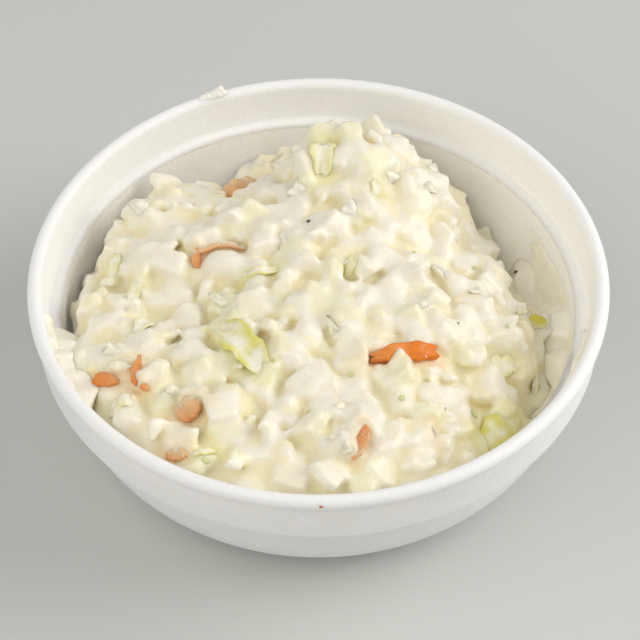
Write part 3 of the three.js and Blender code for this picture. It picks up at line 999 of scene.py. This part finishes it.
class COLESLAW_OT_stage(Operator):
    """Camera, soft lights and a plain pale floor."""

    bl_idname = "coleslaw.stage"
    bl_label = "Stage"

    def execute(self, context):
        stage = context.scene.stage_settings
        bowl = context.scene.foam_bowl_settings
        deselect_all()
        bpy.ops.mesh.primitive_plane_add(size=6.0, location=(0, 0, -0.1 * MM))
        floor = added("floor")
        floor.data.materials.append(floor_material(stage))
        rim = Vector((0, 0, bowl.height - bowl.bead_radius))
        back = Vector((0, -math.cos(stage.elevation), math.sin(stage.elevation)))
        data = bpy.data.cameras.new("camera")
        data.lens = stage.lens
        data.sensor_width = SENSOR
        data.clip_end = 20
        camera = placed_object("camera", data, rim + stage.distance * back, CAMERA_AIM)
        context.scene.camera = camera
        lamp(stage.key_power, *KEY_LIGHT)
        lamp(stage.fill_power, *FILL_LIGHT)
        world = bpy.data.worlds.new("soft_light")
        world.use_nodes = True
        sky = world.node_tree.nodes["Background"]
        sky.inputs["Color"].default_value = rgba(SKY_TONE)
        sky.inputs["Strength"].default_value = stage.sky
        context.scene.world = world
        context.scene.view_settings.view_transform = "Standard"
        return {"FINISHED"}


class COLESLAW_OT_foam_bowl(Operator):
    """The foam bowl: its section spun round, then made very slightly uneven."""

    bl_idname = "coleslaw.foam_bowl"
    bl_label = "Foam bowl"

    def execute(self, context):
        bowl = context.scene.foam_bowl_settings
        outline = bowl_outline(bowl)
        deselect_all()
        bpy.ops.mesh.primitive_circle_add(vertices=len(outline), fill_type="NOTHING")
        piece = added("foam_bowl_wall")
        for vertex, (radius, z) in zip(piece.data.vertices, outline):
            vertex.co = (radius, 0, z)
        for edge in piece.data.edges:
            edge.select = sorted(edge.vertices) == [0, len(outline) - 1]
        for vertex in piece.data.vertices:
            vertex.select = vertex.index in (0, len(outline) - 1)
        bpy.ops.object.mode_set(mode="EDIT")
        bpy.ops.mesh.select_mode(type="EDGE")
        bpy.ops.mesh.delete(type="EDGE")
        bpy.ops.mesh.select_mode(type="VERT")
        bpy.ops.mesh.select_all(action="SELECT")
        bpy.ops.mesh.spin(steps=BOWL_STEPS, angle=2 * math.pi, center=(0, 0, 0), axis=(0, 0, 1))
        leave_edit()
        clean_solid(piece)
        points = coordinates(piece.data)
        for i, point in enumerate(points):
            wobble = WOBBLE * noise.noise(Vector(point) * WOBBLE_SCALE)
            radius = math.hypot(point[0], point[1])
            if 1 * MM < radius < bowl.rim_radius - 0.5 * MM and point[2] > 1 * MM:
                points[i, :2] *= 1 + wobble / radius
        set_coordinates(piece.data, points)
        # Which faces look inwards, kept as inner: the mask of the painted warm shade inside the foam.
        outward = (points[:, :2] * facing(piece)[:, :2]).sum(1)
        inward = -outward / np.hypot(points[:, 0], points[:, 1]).clip(1 * MM)
        keep_value(piece, "inner", np.clip(inward * 1.6, 0, 1))
        finish_piece(piece, foam_material(bowl), ["foam_bowl"])
        return {"FINISHED"}


# ---------------------------------------------------------------- chopped shapes
def chopped_shape(corners, thickness, seed, wave=0.22, soften=0.0):
    """A chopped piece of cabbage of radius 1: an uneven slab with straight cuts and torn edges."""
    deselect_all()
    bpy.ops.mesh.primitive_cylinder_add(
        vertices=2 * corners,
        radius=1,
        depth=thickness,
        end_fill_type="NGON" if soften else "TRIFAN",
    )
    piece = added("chopped_shape")
    rng = random.Random(seed)
    outline = []
    for i in range(corners):
        turn = 2 * math.pi * (i + rng.uniform(-0.28, 0.28)) / corners
        reach = rng.uniform(0.75, 1.15)
        lift = rng.uniform(-wave, wave)
        outline.append(Vector((reach * math.cos(turn), reach * math.sin(turn), lift)))
    rounds = []
    for i, corner in enumerate(outline):
        middle = (corner + outline[(i + 1) % corners]) / 2
        rounds += [corner, middle * rng.uniform(0.88, 1.14)]
    narrowing, slant = rng.uniform(0.75, 1.0), rng.uniform(-0.2, 0.2)
    for vertex in piece.data.vertices:
        x, y, z = vertex.co
        spot = Vector((0, 0, 0.5 * wave))
        if math.hypot(x, y) > 0.5:
            turn = math.atan2(y, x) - math.pi / 2
            spot = rounds[round(turn / math.pi * corners) % (2 * corners)]
        if z > 0:
            spot = Vector((spot.x * narrowing + slant * thickness, spot.y * narrowing, spot.z))
        vertex.co = spot + Vector((0, 0, z))
    if soften:
        edit_whole(piece)
        bpy.ops.mesh.bevel(offset=soften, segments=1, affect="EDGES")
        bpy.ops.mesh.quads_convert_to_tris()
        leave_edit()
    return shape_of(piece)


def chopped_kinds(rng, count, corners, thickness, seed, **more):
    """So many different chopped shapes."""
    kinds = []
    for i in range(count):
        kinds.append(chopped_shape(rng.choice(corners), rng.uniform(*thickness), seed + i, **more))
    return kinds


def sliver_shape(width, thickness, seed):
    """A narrow shred 2 long: a bar that tapers and bows."""
    deselect_all()
    bpy.ops.mesh.primitive_cube_add(size=1)
    piece = added("sliver_shape")
    edit_whole(piece)
    bpy.ops.transform.resize(value=(2, width, thickness))
    bpy.ops.mesh.subdivide(number_cuts=3)
    leave_edit()
    rng = random.Random(seed)
    bow, sway = rng.uniform(0.16, 0.4), rng.uniform(-0.25, 0.25)
    narrowing = rng.uniform(0.3, 0.5)
    for vertex in piece.data.vertices:
        along = vertex.co.x
        taper = 1 - narrowing * along * along
        vertex.co.y = vertex.co.y * taper + sway * (1 - along * along)
        vertex.co.z = vertex.co.z * taper + bow * (0.5 - along * along)
    return shape_of(piece)


def scatter(rng, tree, count, shapes, reach, how, avoid):
    """(shape, matrix) pairs spread evenly over the heap, each lying on its surface."""
    sizes, lifts = ([value * MM for value in pair] for pair in how[:2])
    lean = how[2]
    placed = []
    for i in range(count):
        turn = i * GOLDEN_ANGLE + rng.uniform(-0.25, 0.25)
        radius = reach * math.sqrt((i + 0.5) / count)
        x, y = radius * math.cos(turn), radius * math.sin(turn)
        shape = rng.choice(shapes)
        angle, tip = rng.uniform(0, 2 * math.pi), rng.uniform(-lean, lean)
        towards, lift = rng.uniform(0, math.pi), rng.uniform(*lifts)
        size = sizes[0] + (sizes[1] - sizes[0]) * rng.random() * rng.uniform(0.6, 1)
        spot, normal = resting_place(tree, x, y, 1.5 * MM)
        if spot is None or any(math.hypot(x - a, y - b) < c for a, b, c in avoid):
            continue
        placed.append((shape, laid(spot, normal, angle, tip, towards, lift, size)))
    return placed


# ---------------------------------------------------------------- the dressed heap
def smooth_rib(tree):
    """The smooth white piece of rib that the curved carrot strip lies against, as (shape, matrix)."""
    deselect_all()
    bpy.ops.mesh.primitive_ico_sphere_add(subdivisions=3, radius=1)
    shape = shape_of(added("rib"))
    spot, _ = resting_place(tree, RIB_X * MM, RIB_Y * MM, 2 * MM)
    turned = Quaternion(UP, RIB_TURN)
    return shape, Matrix.LocRotScale(spot + RIB_LIFT * MM * UP, turned, Vector(RIB_SIZE) * MM)


def lump_bits(tree, chunks):
    """(shape, matrix) pairs of the lumps: one chunk in a small lump, three in a large one."""
    placed = []
    for seed, (x, y, width, height) in enumerate(LUMPS):
        parts = 1 if width < LARGE_LUMP else 3
        apart = 0.5 * width * MM * (parts > 1)
        share = 1.0 if parts == 1 else 0.62
        own = random.Random(seed)
        for i in range(parts):
            turn = 2 * math.pi * i / parts + own.uniform(0, 1)
            place = (x * MM + apart * math.cos(turn), y * MM + apart * math.sin(turn))
            spot, normal = resting_place(tree, *place, 2 * MM)
            if spot is None:
                continue
            spot -= 0.18 * height * MM * normal
            tilt = Quaternion((own.uniform(-1, 1), own.uniform(-1, 1), 0), own.uniform(0.1, 0.7))
            turned = Quaternion(UP, own.uniform(-0.5, 0.5)) @ tilt
            size = Vector((share * width, 1.1 * share * height, 0.9 * height)) * MM
            placed.append((own.choice(chunks), Matrix.LocRotScale(spot, turned, size)))
    return placed


def heap_bits(salad, tree, rng):
    """(shape, matrix) pairs of all the pieces in the heap."""
    chunks = chopped_kinds(rng, 14, (4, 5, 5, 6), (0.7, 1.1), 0)
    slabs = chopped_kinds(rng, 14, (3, 4, 5), (0.4, 0.65), 20)
    slivers = [sliver_shape(rng.uniform(0.4, 0.6), rng.uniform(0.35, 0.5), i) for i in range(6)]
    carrots = []
    for x1, y1, x2, y2, wide, *_ in CARROTS:
        for share in (0.1, 0.5, 0.9):
            x, y = x1 + share * (x2 - x1), y1 + share * (y2 - y1)
            carrots.append((x * MM, y * MM, (0.5 * wide + 0.4) * MM))
    lumps = [(x * MM, y * MM, 0.45 * width * MM) for x, y, width, _ in LUMPS]
    reach = HEAP_HIGH.y - 1 * MM
    placed = lump_bits(tree, chunks)
    placed.append(smooth_rib(tree))
    placed += scatter(rng, tree, salad.large_bits, chunks, reach, LARGE_SCATTER, carrots + lumps)
    placed += scatter(rng, tree, salad.medium_bits, slabs, reach, MEDIUM_SCATTER, carrots + lumps)
    every = chunks + slabs + slivers
    return placed + scatter(rng, tree, salad.small_bits, every, reach, SMALL_SCATTER, carrots)


def thin_underside(piece, bowl):
    """Fewer faces where the heap lies against the foam."""
    select_only(piece)
    for face in piece.data.polygons:
        x, y, z = face.center
        radius = math.hypot(x, y)
        face.select = z < 6 * MM or (face.normal.z < 0.2 and radius > foam_radius(bowl, z) - 1.5 * MM)
    bpy.ops.object.mode_set(mode="EDIT")
    bpy.ops.mesh.select_mode(type="FACE")
    bpy.ops.mesh.decimate(ratio=0.08)
    leave_edit()


def melt_together(heap, bowl, salad):
    """One skin over the pieces, without scraps, and plain where it lies against the foam."""
    remesh(heap, salad.grain)
    keep_largest(heap)
    thin_underside(heap, bowl)


def fill_gaps(piece, rounds):
    """Dressing runs into the gaps: points in a dip rise to the middle of their neighbours."""
    points = coordinates(piece.data)
    middles = neighbour_middles(mesh_edges(piece.data), len(points))
    for turn in range(rounds):
        if turn % 10 == 0:
            set_coordinates(piece.data, points)
            normals = facing(piece)
        move = middles(points) - points
        rise = (move * normals).sum(1)
        points = points + np.where(rise > 0, FILL_RISE, FILL_SINK)[:, None] * move
    set_coordinates(piece.data, points)


def mark_hollow_shade(piece, tree, rounds=40, reach=0.9 * MM, depth=3.5 * MM):
    """Keeps for each vertex how deep it lies: 0 on a rise, 1 in a pit or low between lumps; the dressing's
    painted shade follows it.
    """
    points = coordinates(piece.data)
    even = neighbour_mean(points, mesh_edges(piece.data), rounds)
    inward = ((even - points) * facing(piece)).sum(1)
    below = np.empty(len(points))
    for i, point in enumerate(points):
        spot, normal, _, _ = tree.find_nearest(Vector(point))
        below[i] = (spot - Vector(point)).dot(normal)
    hollow_shade = np.clip(0.35 + inward / reach + below / depth, 0, 1)
    keep_value(piece, "hollow_shade", hollow_shade)
    return hollow_shade


def nearness(points, x1, y1, x2, y2, width):
    """How near each point lies to a strip seen from above: 1 on it, 0 from 2 mm outside it."""
    start, run = np.array((x1, y1)) * MM, np.array((x2 - x1, y2 - y1)) * MM
    share = np.clip(((points[:, :2] - start) @ run) / (run @ run), 0, 1)
    away = np.hypot(*(points[:, :2] - start - share[:, None] * run).T)
    return np.clip(1 - (away - 0.4 * width * MM) / (2 * MM), 0, 1)


def tint_by_piece(heap, tree, owner, hollow_shade, rng):
    """Keeps the colour of the piece under the dressing, and the glow of carrot and leaf close by."""
    tints = np.array(rng.choices(PIECE_TINTS, TINT_SHARES, k=int(owner.max()) + 1))
    points = coordinates(heap.data)
    depth = np.empty(len(points))
    colours = np.ones((len(points), 3))
    for i, point in enumerate(points):
        _, _, face, depth[i] = tree.find_nearest(Vector(point))
        colours[i] = tints[owner[face]]
    thick = np.clip((depth - VEIL_START) / VEIL_DEPTH, 0, 1)[:, None]
    colours = colours * (1 - thick) + thick
    for x1, y1, x2, y2, wide, *_ in CARROTS:
        colours *= mixed(WHITE, CARROT_GLOW, 0.5 * nearness(points, x1, y1, x2, y2, wide))
    for x, y, turn, long, wide, _, _, green, _ in LEAVES:
        run_x, run_y = (0.4 * long * f(math.radians(turn)) for f in (math.cos, math.sin))
        near = nearness(points, x - run_x, y - run_y, x + run_x, y + run_y, wide)
        colours *= mixed(WHITE, LEAF_GLOW, 0.8 * green * near)
    # Golden patches: leaf tone under the dressing, with painted shade that is stronger in the hollows.
    for patch in GOLDEN_TONE_AND_SHADE:
        colours *= mixed(WHITE, GOLDEN_GLOW, nearness(points, *patch) * (0.4 + 0.6 * hollow_shade))
    keep_tint(heap, colours)


class COLESLAW_OT_dressed_heap(Operator):
    """The heap: chopped pieces laid over the salad's body, joined by dressing in their gaps."""

    bl_idname = "coleslaw.dressed_heap"
    bl_label = "Dressed heap"

    def execute(self, context):
        salad = context.scene.salad_settings
        bowl = context.scene.foam_bowl_settings
        rng = random.Random(11)
        heap = mesh_copy("coleslaw", "dressed_heap")
        remesh(heap, CORE_GRAIN)
        smooth_out(heap, 14)
        tree = tree_of("dressed_heap")
        points = coordinates(heap.data)
        points[:, 2] -= CORE_SINK * np.clip(facing(heap)[:, 2], 0, 1)
        set_coordinates(heap.data, points)
        placed = heap_bits(salad, tree, rng)
        bits = copies("heap_bits", placed)
        clear_of_foam(bowl, bits, BITS_GAP)
        nearest_bits = tree_of("heap_bits")
        owner = np.repeat(np.arange(len(placed)), [len(shape["faces"]) for shape, _ in placed])
        select_only(heap)
        bits.select_set(True)
        bpy.ops.object.join()
        melt_together(heap, bowl, salad)
        roughen(heap, 1.7 * MM, 0.45 * MM)
        smooth_out(heap, 2)
        fill_gaps(heap, 30)
        melt_together(heap, bowl, salad)
        smooth_out(heap, 1)
        fill_gaps(heap, 3)
        triangles = sum(len(p.vertices) - 2 for p in heap.data.polygons)
        apply_modifier(heap, "DECIMATE", ratio=min(1.0, HEAP_TRIANGLES / triangles))
        clear_of_foam(bowl, heap, HEAP_GAP)
        # The depth of each point, kept for the painted shade in the hollows.
        hollow_shade = mark_hollow_shade(heap, tree)
        tint_by_piece(heap, nearest_bits, owner, hollow_shade, rng)
        finish_piece(heap, cream_material(salad), ["coleslaw"])
        return {"FINISHED"}


# ---------------------------------------------------------------- bare cabbage, leaf and carrot
class COLESLAW_OT_cabbage(Operator):
    """Pieces of cabbage whose cut edges show through the dressing."""

    bl_idname = "coleslaw.cabbage"
    bl_label = "Cabbage pieces"

    def execute(self, context):
        salad = context.scene.salad_settings
        bowl = context.scene.foam_bowl_settings
        rng = random.Random(29)
        tree = tree_of("dressed_heap")
        shapes = chopped_kinds(rng, 10, (3, 4, 4), (0.3, 0.5), 70, wave=0.3, soften=0.1)
        keep_clear = [((a + c) / 2 * MM, (b + d) / 2 * MM, 5 * MM) for a, b, c, d, *_ in CARROTS]
        keep_clear.append([value * MM for value in DRESSED_SPOT])
        reach = HEAP_HIGH.y - 4 * MM
        placed = scatter(rng, tree, salad.bare_pieces, shapes, reach, BARE_SCATTER, keep_clear)
        piece = copies("cabbage_pieces", placed)
        clear_of_foam(bowl, piece, CABBAGE_GAP)
        tints = np.array(rng.choices(PIECE_TINTS, BARE_TINT_SHARES, k=len(placed)))
        sizes = [len(shape["points"]) for shape, _ in placed]
        cover(piece, np.repeat(tints, sizes, axis=0) * salad.cabbage, 0.42)
        map_from_above(piece)
        apply_modifier(piece, "WEIGHTED_NORMAL")
        finish_piece(piece, piece_material("bare_cabbage", salad, 0.36, 60.0, 0.97))
        return {"FINISHED"}


def sheet(long, wide, seed, rows=14, columns=8, ragged=0.14):
    """A flat leaf-like sheet along X with an uneven outline, as (object, along, across)."""
    deselect_all()
    bpy.ops.mesh.primitive_grid_add(x_subdivisions=rows, y_subdivisions=columns, size=2, calc_uvs=True)
    piece = added("sheet")
    rng = random.Random(seed)
    phases = [rng.uniform(0, 6) for _ in range(4)]
    points = coordinates(piece.data)
    along, across = points[:, 0].copy(), points[:, 1].copy()
    side = np.sign(across)
    edge = 1 + ragged * (np.sin(5 * along + phases[0] + side) + 0.7 * np.sin(11 * along + phases[1]))
    end = 1 + ragged * (np.sin(4 * across + phases[2]) + 0.7 * np.sin(9 * across + phases[3]))
    narrow = np.sqrt(np.clip(1 - 0.80 * np.abs(along) ** 2.6, 0.05, 1))
    points[:, 0] = along * end * long / 2 * (1 - 0.10 * across * across)
    points[:, 1] = across * edge * narrow * wide / 2
    set_coordinates(piece.data, points)
    return piece, along, across


def drape(piece, tree, x, y, turn, lift, stiffness, relief):
    """Lays a sheet on the surface below it: the stiffer, the less it follows each lump."""
    points = coordinates(piece.data)
    cosine, sine = math.cos(turn), math.sin(turn)
    place_x = x + cosine * points[:, 0] - sine * points[:, 1]
    place_y = y + sine * points[:, 0] + cosine * points[:, 1]
    spots = [under(tree, a, b) for a, b in zip(place_x, place_y)]
    lowest = min(spot.z for spot in spots if spot)
    heights = np.array([spot.z if spot else lowest for spot in spots])
    column = np.stack([heights, heights, heights], 1)
    even = neighbour_mean(column, mesh_edges(piece.data), stiffness)[:, 0]
    height = np.maximum(even, 0.5 * (even + heights)) + lift + relief
    set_coordinates(piece.data, np.stack([place_x, place_y, height], 1))


def thicken(piece, thickness, levels=1):
    """Gives a sheet its thickness and rounds it off."""
    apply_modifier(piece, "SOLIDIFY", thickness=thickness, offset=0.0)
    apply_modifier(piece, "SUBSURF", levels=levels, render_levels=levels)


def carrot_strip(long, wide, thick, bend, seed):
    """A flat cut strip along X, pointed at one end and blunt at the other, as (object, along, across)."""
    deselect_all()
    bpy.ops.mesh.primitive_grid_add(x_subdivisions=20, y_subdivisions=8, size=2, calc_uvs=True)
    piece = added("carrot_strip")
    rng = random.Random(500 + seed)
    phase = rng.uniform(0, 6)
    points = coordinates(piece.data)
    along, across = points[:, 0].copy(), points[:, 1].copy()
    taper = np.where(along > 0, 1 - 0.72 * np.abs(along) ** 2.2, 1 - 0.40 * np.abs(along) ** 3)
    edge = 1 + 0.07 * np.sin(9 * along + phase) + 0.05 * np.sin(17 * along - phase)
    points[:, 0] = along * long / 2 * (1 + 0.10 * np.sin(2.2 * across + phase))
    points[:, 1] = (across * taper * edge + 0.10 * np.sin(1.4 * along + phase)) * wide / 2
    points[:, 1] += bend * (1 - along ** 2)
    points[:, 2] = 0.10 * thick * np.sin(6 * along + phase) - 0.25 * thick * along ** 2
    set_coordinates(piece.data, points)
    return piece, along, across


def leaf_piece(salad, bowl, tree, seed, row):
    """A leaf piece from its row in LEAVES: curled, and green along its edges and in streaks."""
    x, y, turn, long, wide, curl, lift, green, clings = row
    piece, along, across = sheet(long * MM, wide * MM, seed)
    relief = curl * MM * (across ** 2 - 0.4) + 0.15 * MM * np.sin(3 * along + seed)
    relief -= 1.3 * MM * np.abs(along) ** 4 + 0.4 * MM * np.abs(across) ** 4
    drape(piece, tree, x * MM, y * MM, math.radians(turn), lift * MM, 10, relief)
    clear_of_foam(bowl, piece, LEAF_GAP)
    streaks = noise_over(along, across, (2.5, 2), seed)
    spread_in = 0.12 + 1.5 * max(green - 1, 0)
    edge = np.clip(np.abs(across) ** 1.5 + 1.2 * streaks + spread_in, 0, 1)
    keep_tint(piece, mixed(salad.cabbage, mixed(salad.cabbage, salad.leaf, min(green, 1)), edge))
    ends = np.clip(np.abs(along) - 0.5, 0, 1) + 0.5 * np.clip(np.abs(across) - 0.8, 0, 1)
    keep_value(piece, "clings", clings + 0.7 * ends - 0.15 * edge)
    thicken(piece, LEAF_THICKNESS)
    return piece


def green_fleck(salad, tree, seed, row):
    """A small green fleck from its row in FLECKS."""
    x, y, size = row
    piece, _, _ = sheet(size * MM, 0.8 * size * MM, 100 + seed, 4, 3)
    drape(piece, tree, x * MM, y * MM, seed, 0.2 * MM, 1, 0)
    cover(piece, mixed(np.array(salad.leaf) * FLECK_SHADE, salad.cream, 0.4), -0.2)
    thicken(piece, FLECK_THICKNESS)
    return piece


def olive_chip(salad, tree):
    """The small olive wedge beside the right wall, pale along its lower edge."""
    long, wide, thick = CHIP_SIZE
    chip, _, across = carrot_strip(long * MM, wide * MM, thick * MM, 0, 40)
    spot = under(tree, CHIP_X * MM, CHIP_Y * MM) + CHIP_LIFT * MM * UP
    chip.data.transform(Matrix.Translation(spot) @ Matrix.Rotation(CHIP_TILT, 4, "X"))
    olive = np.array(salad.leaf) * OLIVE_SHADE
    cover(chip, mixed(olive, salad.cream, 0.6 * np.clip(-across, 0, 1)), -0.1)
    thicken(chip, CHIP_THICKNESS)
    return chip


class COLESLAW_OT_leaves(Operator):
    """Thin green-edged leaf pieces, flecks and the olive chip, draped over the heap."""

    bl_idname = "coleslaw.leaves"
    bl_label = "Leaf pieces"

    def execute(self, context):
        salad = context.scene.salad_settings
        bowl = context.scene.foam_bowl_settings
        tree = tree_of("dressed_heap")
        leaves = [leaf_piece(salad, bowl, tree, seed, row) for seed, row in enumerate(LEAVES)]
        leaves += [green_fleck(salad, tree, seed, row) for seed, row in enumerate(FLECKS)]
        leaves.append(olive_chip(salad, tree))
        piece = joined(leaves, "leaf_pieces")
        finish_piece(piece, piece_material("green_leaf", salad, 0.36, 24.0, 0.93))
        return {"FINISHED"}


def laid_strip(salad, tree, seed, row):
    """A piece of carrot from its row in CARROTS, laid on the heap between its two ends."""
    x1, y1, x2, y2, wide, thick, bend, lean, lift, pale, clings = row
    long = math.hypot(x2 - x1, y2 - y1)
    strip, along, across = carrot_strip(long * MM, wide * MM, thick * MM, bend * MM, seed)
    middle = Vector(((x1 + x2) / 2, (y1 + y2) / 2)) * MM
    spot, _ = resting_place(tree, middle.x, middle.y, 1.2 * MM)
    ends = [under(tree, x * MM, y * MM) or Vector((x * MM, y * MM, spot.z - 1 * MM))
            for x, y in ((x1, y1), (x2, y2))]
    slope = (ends[1] - ends[0]).normalized()
    level = Vector((-slope.y, slope.x, 0)).normalized()
    facing_up = Matrix((slope, level, slope.cross(level))).transposed().to_4x4()
    height = max(spot.z, (ends[0].z + ends[1].z) / 2) + (lift - 0.5 * thick) * MM
    roll = Matrix.Rotation(math.radians(lean), 4, "X")
    strip.data.transform(Matrix.Translation((middle.x, middle.y, height)) @ facing_up @ roll)
    share = np.clip(pale * (1 + 0.5 * across) + 0.13 * (0.6 + along), 0, 1)
    keep_tint(strip, mixed(salad.carrot, salad.pale_carrot, share))
    veil = 0.16 * np.clip(along - 0.1, 0, 1) + 0.25 * pale * across
    keep_value(strip, "clings", clings + veil)
    thicken(strip, thick * MM)
    return strip


def orange_crumb(salad):
    """The carrot crumb on the front of the rim."""
    turned = Quaternion((1, 0.5, 0.3), 0.8)
    place = Matrix.LocRotScale(Vector(CRUMB_PLACE) * MM, turned, Vector(CRUMB_SIZE) * MM)
    crumb = copies("crumb", [(chopped_shape(5, 0.5, 304), place)])
    crumb.data.uv_layers.new(name="UVMap")
    cover(crumb, np.array(salad.carrot) * 0.8, -0.4)
    return crumb


class COLESLAW_OT_carrots(Operator):
    """Strips and chips of carrot, some bare and some under dressing, and the crumb on the rim."""

    bl_idname = "coleslaw.carrots"
    bl_label = "Carrot strips"

    def execute(self, context):
        salad = context.scene.salad_settings
        tree = tree_of("dressed_heap")
        strips = [laid_strip(salad, tree, seed, row) for seed, row in enumerate(CARROTS)]
        strips.append(orange_crumb(salad))
        piece = joined(strips, "carrot_strips")
        finish_piece(piece, piece_material("carrot", salad, 0.38, 36.0, 0.80))
        return {"FINISHED"}


# ---------------------------------------------------------------- dressing on the foam, and pepper
def wall_film(bowl, tree, angles, heights, thickness, reach, seed):
    """Dressing on the foam's inner face: a ragged smear, filled out to the heap where it is in reach."""
    deselect_all()
    bpy.ops.mesh.primitive_grid_add(x_subdivisions=80, y_subdivisions=50, size=2, calc_uvs=True)
    film = added("dressing_film")
    points = coordinates(film.data)
    across, up = points[:, 0].copy(), points[:, 1].copy()
    edge = noise_over(across, up, (4, 4), seed)
    runs = noise_over(across, up, (9, 1.5), seed + 9)
    turn = np.radians(np.interp(across, (-1, 1), angles))
    z = np.interp(up, (-1, 1), heights) * MM
    inside = np.minimum(1 - np.abs(across), 1 - up) / 0.22 + 1.1 * edge - 0.35
    lift = thickness * MM * (np.tanh(2.2 * inside) * (0.7 + 0.5 * runs) - 0.12)
    out = np.stack([np.cos(turn), np.sin(turn), np.zeros_like(turn)], 1)
    wall = foam_radius(bowl, z)
    gaps = np.zeros(len(points))
    for i, (way, radius) in enumerate(zip(out, wall)):
        start = Vector(way * (radius - 0.05 * MM)) + Vector((0, 0, z[i]))
        _, _, _, distance = tree.ray_cast(start, -Vector(way), reach * MM)
        gaps[i] = 0 if distance is None else distance + 0.5 * MM
    ends = np.clip((1 - np.abs(across)) / 0.25, 0, 1)
    column = np.stack([gaps * ends, gaps, gaps], 1)
    fillet = neighbour_mean(column, mesh_edges(film.data), 5)[:, 0]
    lift = np.where(fillet > 0.15 * MM, np.maximum(lift, fillet), lift)
    place = out * (wall - lift)[:, None]
    place[:, 2] = z
    set_coordinates(film.data, place)
    apply_modifier(film, "SOLIDIFY", thickness=FILM_BACK, offset=1.0)
    clean_solid(film)
    return film


def rim_smear():
    """The smear of dressing on the rim, drawn up to a small peak."""
    balls = []
    for x, y, z, size in SMEAR:
        deselect_all()
        bpy.ops.mesh.primitive_ico_sphere_add(subdivisions=3, radius=size * MM)
        ball = added("smear_ball")
        ball.data.transform(Matrix.Translation(Vector((x, y, z)) * MM))
        balls.append(ball)
    smear = joined(balls, "rim_smear")
    remesh(smear, SMEAR_GRAIN)
    roughen(smear, 1.2 * MM, 0.5 * MM)
    smooth_out(smear, 3)
    cover(smear, RIM_DRESSING, -0.2)
    map_from_above(smear)
    return smear


class COLESLAW_OT_dressing(Operator):
    """Dressing on the foam: run down the wall inside, and smeared on the back of the rim."""

    bl_idname = "coleslaw.dressing"
    bl_label = "Dressing on the foam"

    def execute(self, context):
        salad = context.scene.salad_settings
        bowl = context.scene.foam_bowl_settings
        tree = tree_of("dressed_heap")
        films = [wall_film(bowl, tree, *film) for film in FILMS]
        finish_piece(joined(films, "dressing_film"), film_material(salad))
        material = piece_material("rim_smear", salad, 0.4, 60.0, 0.98)
        finish_piece(rim_smear(), material)
        return {"FINISHED"}


def grain(spot, size, seed):
    """A broken grain."""
    deselect_all()
    bpy.ops.mesh.primitive_ico_sphere_add(subdivisions=2, radius=size)
    piece = added("grain")
    edit_whole(piece)
    bpy.ops.transform.vertex_random(offset=0.3 * size, seed=seed)
    leave_edit()
    turn = Quaternion((seed % 3 - 1, 1, seed % 5), seed).to_matrix().to_4x4()
    size_of = Matrix.Diagonal((1.3, 0.9, 0.7, 1))
    piece.data.transform(Matrix.Translation(spot) @ turn @ size_of)
    return piece


class COLESLAW_OT_pepper(Operator):
    """Specks of ground pepper on the heap and by the right wall."""

    bl_idname = "coleslaw.pepper"
    bl_label = "Pepper"

    def execute(self, context):
        tree = tree_of("dressed_heap")
        grains = []
        for seed, (x, y, size) in enumerate(SPECKS):
            grains.append(grain(under(tree, x * MM, y * MM), size * MM, seed))
        spot = Vector(WALL_SPECK) * MM
        start = spot + Vector(WALL_SPECK_FROM) * MM
        hits = [other.ray_cast(start, spot - start)[0] for other in (tree, tree_of("dressing_film"))]
        spot = min([spot, *filter(None, hits)], key=lambda place: (place - start).length)
        grains.append(grain(spot, WALL_SPECK_SIZE * MM, 9))
        material = pepper_material(context.scene.salad_settings)
        finish_piece(joined(grains, "pepper_grains"), material)
        return {"FINISHED"}


# ---------------------------------------------------------------- panel, registering and the run
class COLESLAW_PT_sidebar(Panel):
    """Lists the pieces in the order in which they are made."""

    bl_idname = "COLESLAW_PT_sidebar"
    bl_label = "Coleslaw"
    bl_space_type = "VIEW_3D"
    bl_region_type = "UI"
    bl_category = "Coleslaw"

    def draw(self, context):
        for operator in OPERATORS:
            self.layout.operator(operator.bl_idname)


SETTINGS = {
    "foam_bowl_settings": FoamBowlSettings,
    "salad_settings": SaladSettings,
    "stage_settings": StageSettings,
}
OPERATORS = (
    COLESLAW_OT_stage,
    COLESLAW_OT_foam_bowl,
    COLESLAW_OT_dressed_heap,
    COLESLAW_OT_cabbage,
    COLESLAW_OT_leaves,
    COLESLAW_OT_carrots,
    COLESLAW_OT_dressing,
    COLESLAW_OT_pepper,
)


def register():
    """Makes the settings, the operators and the panel known to Blender."""
    for name, settings in SETTINGS.items():
        bpy.utils.register_class(settings)
        setattr(bpy.types.Scene, name, PointerProperty(type=settings))
    for operator in OPERATORS:
        bpy.utils.register_class(operator)
    bpy.utils.register_class(COLESLAW_PT_sidebar)


def unregister():
    """Takes them away again."""
    bpy.utils.unregister_class(COLESLAW_PT_sidebar)
    for operator in reversed(OPERATORS):
        bpy.utils.unregister_class(operator)
    for name, settings in SETTINGS.items():
        delattr(bpy.types.Scene, name)
        bpy.utils.unregister_class(settings)


def main():
    """Builds everything."""
    register()
    bpy.ops.coleslaw.stage()
    bpy.ops.coleslaw.foam_bowl()
    bpy.ops.coleslaw.dressed_heap()
    bpy.ops.coleslaw.cabbage()
    bpy.ops.coleslaw.leaves()
    bpy.ops.coleslaw.carrots()
    bpy.ops.coleslaw.dressing()
    bpy.ops.coleslaw.pepper()


if __name__ == "__main__":
    main()
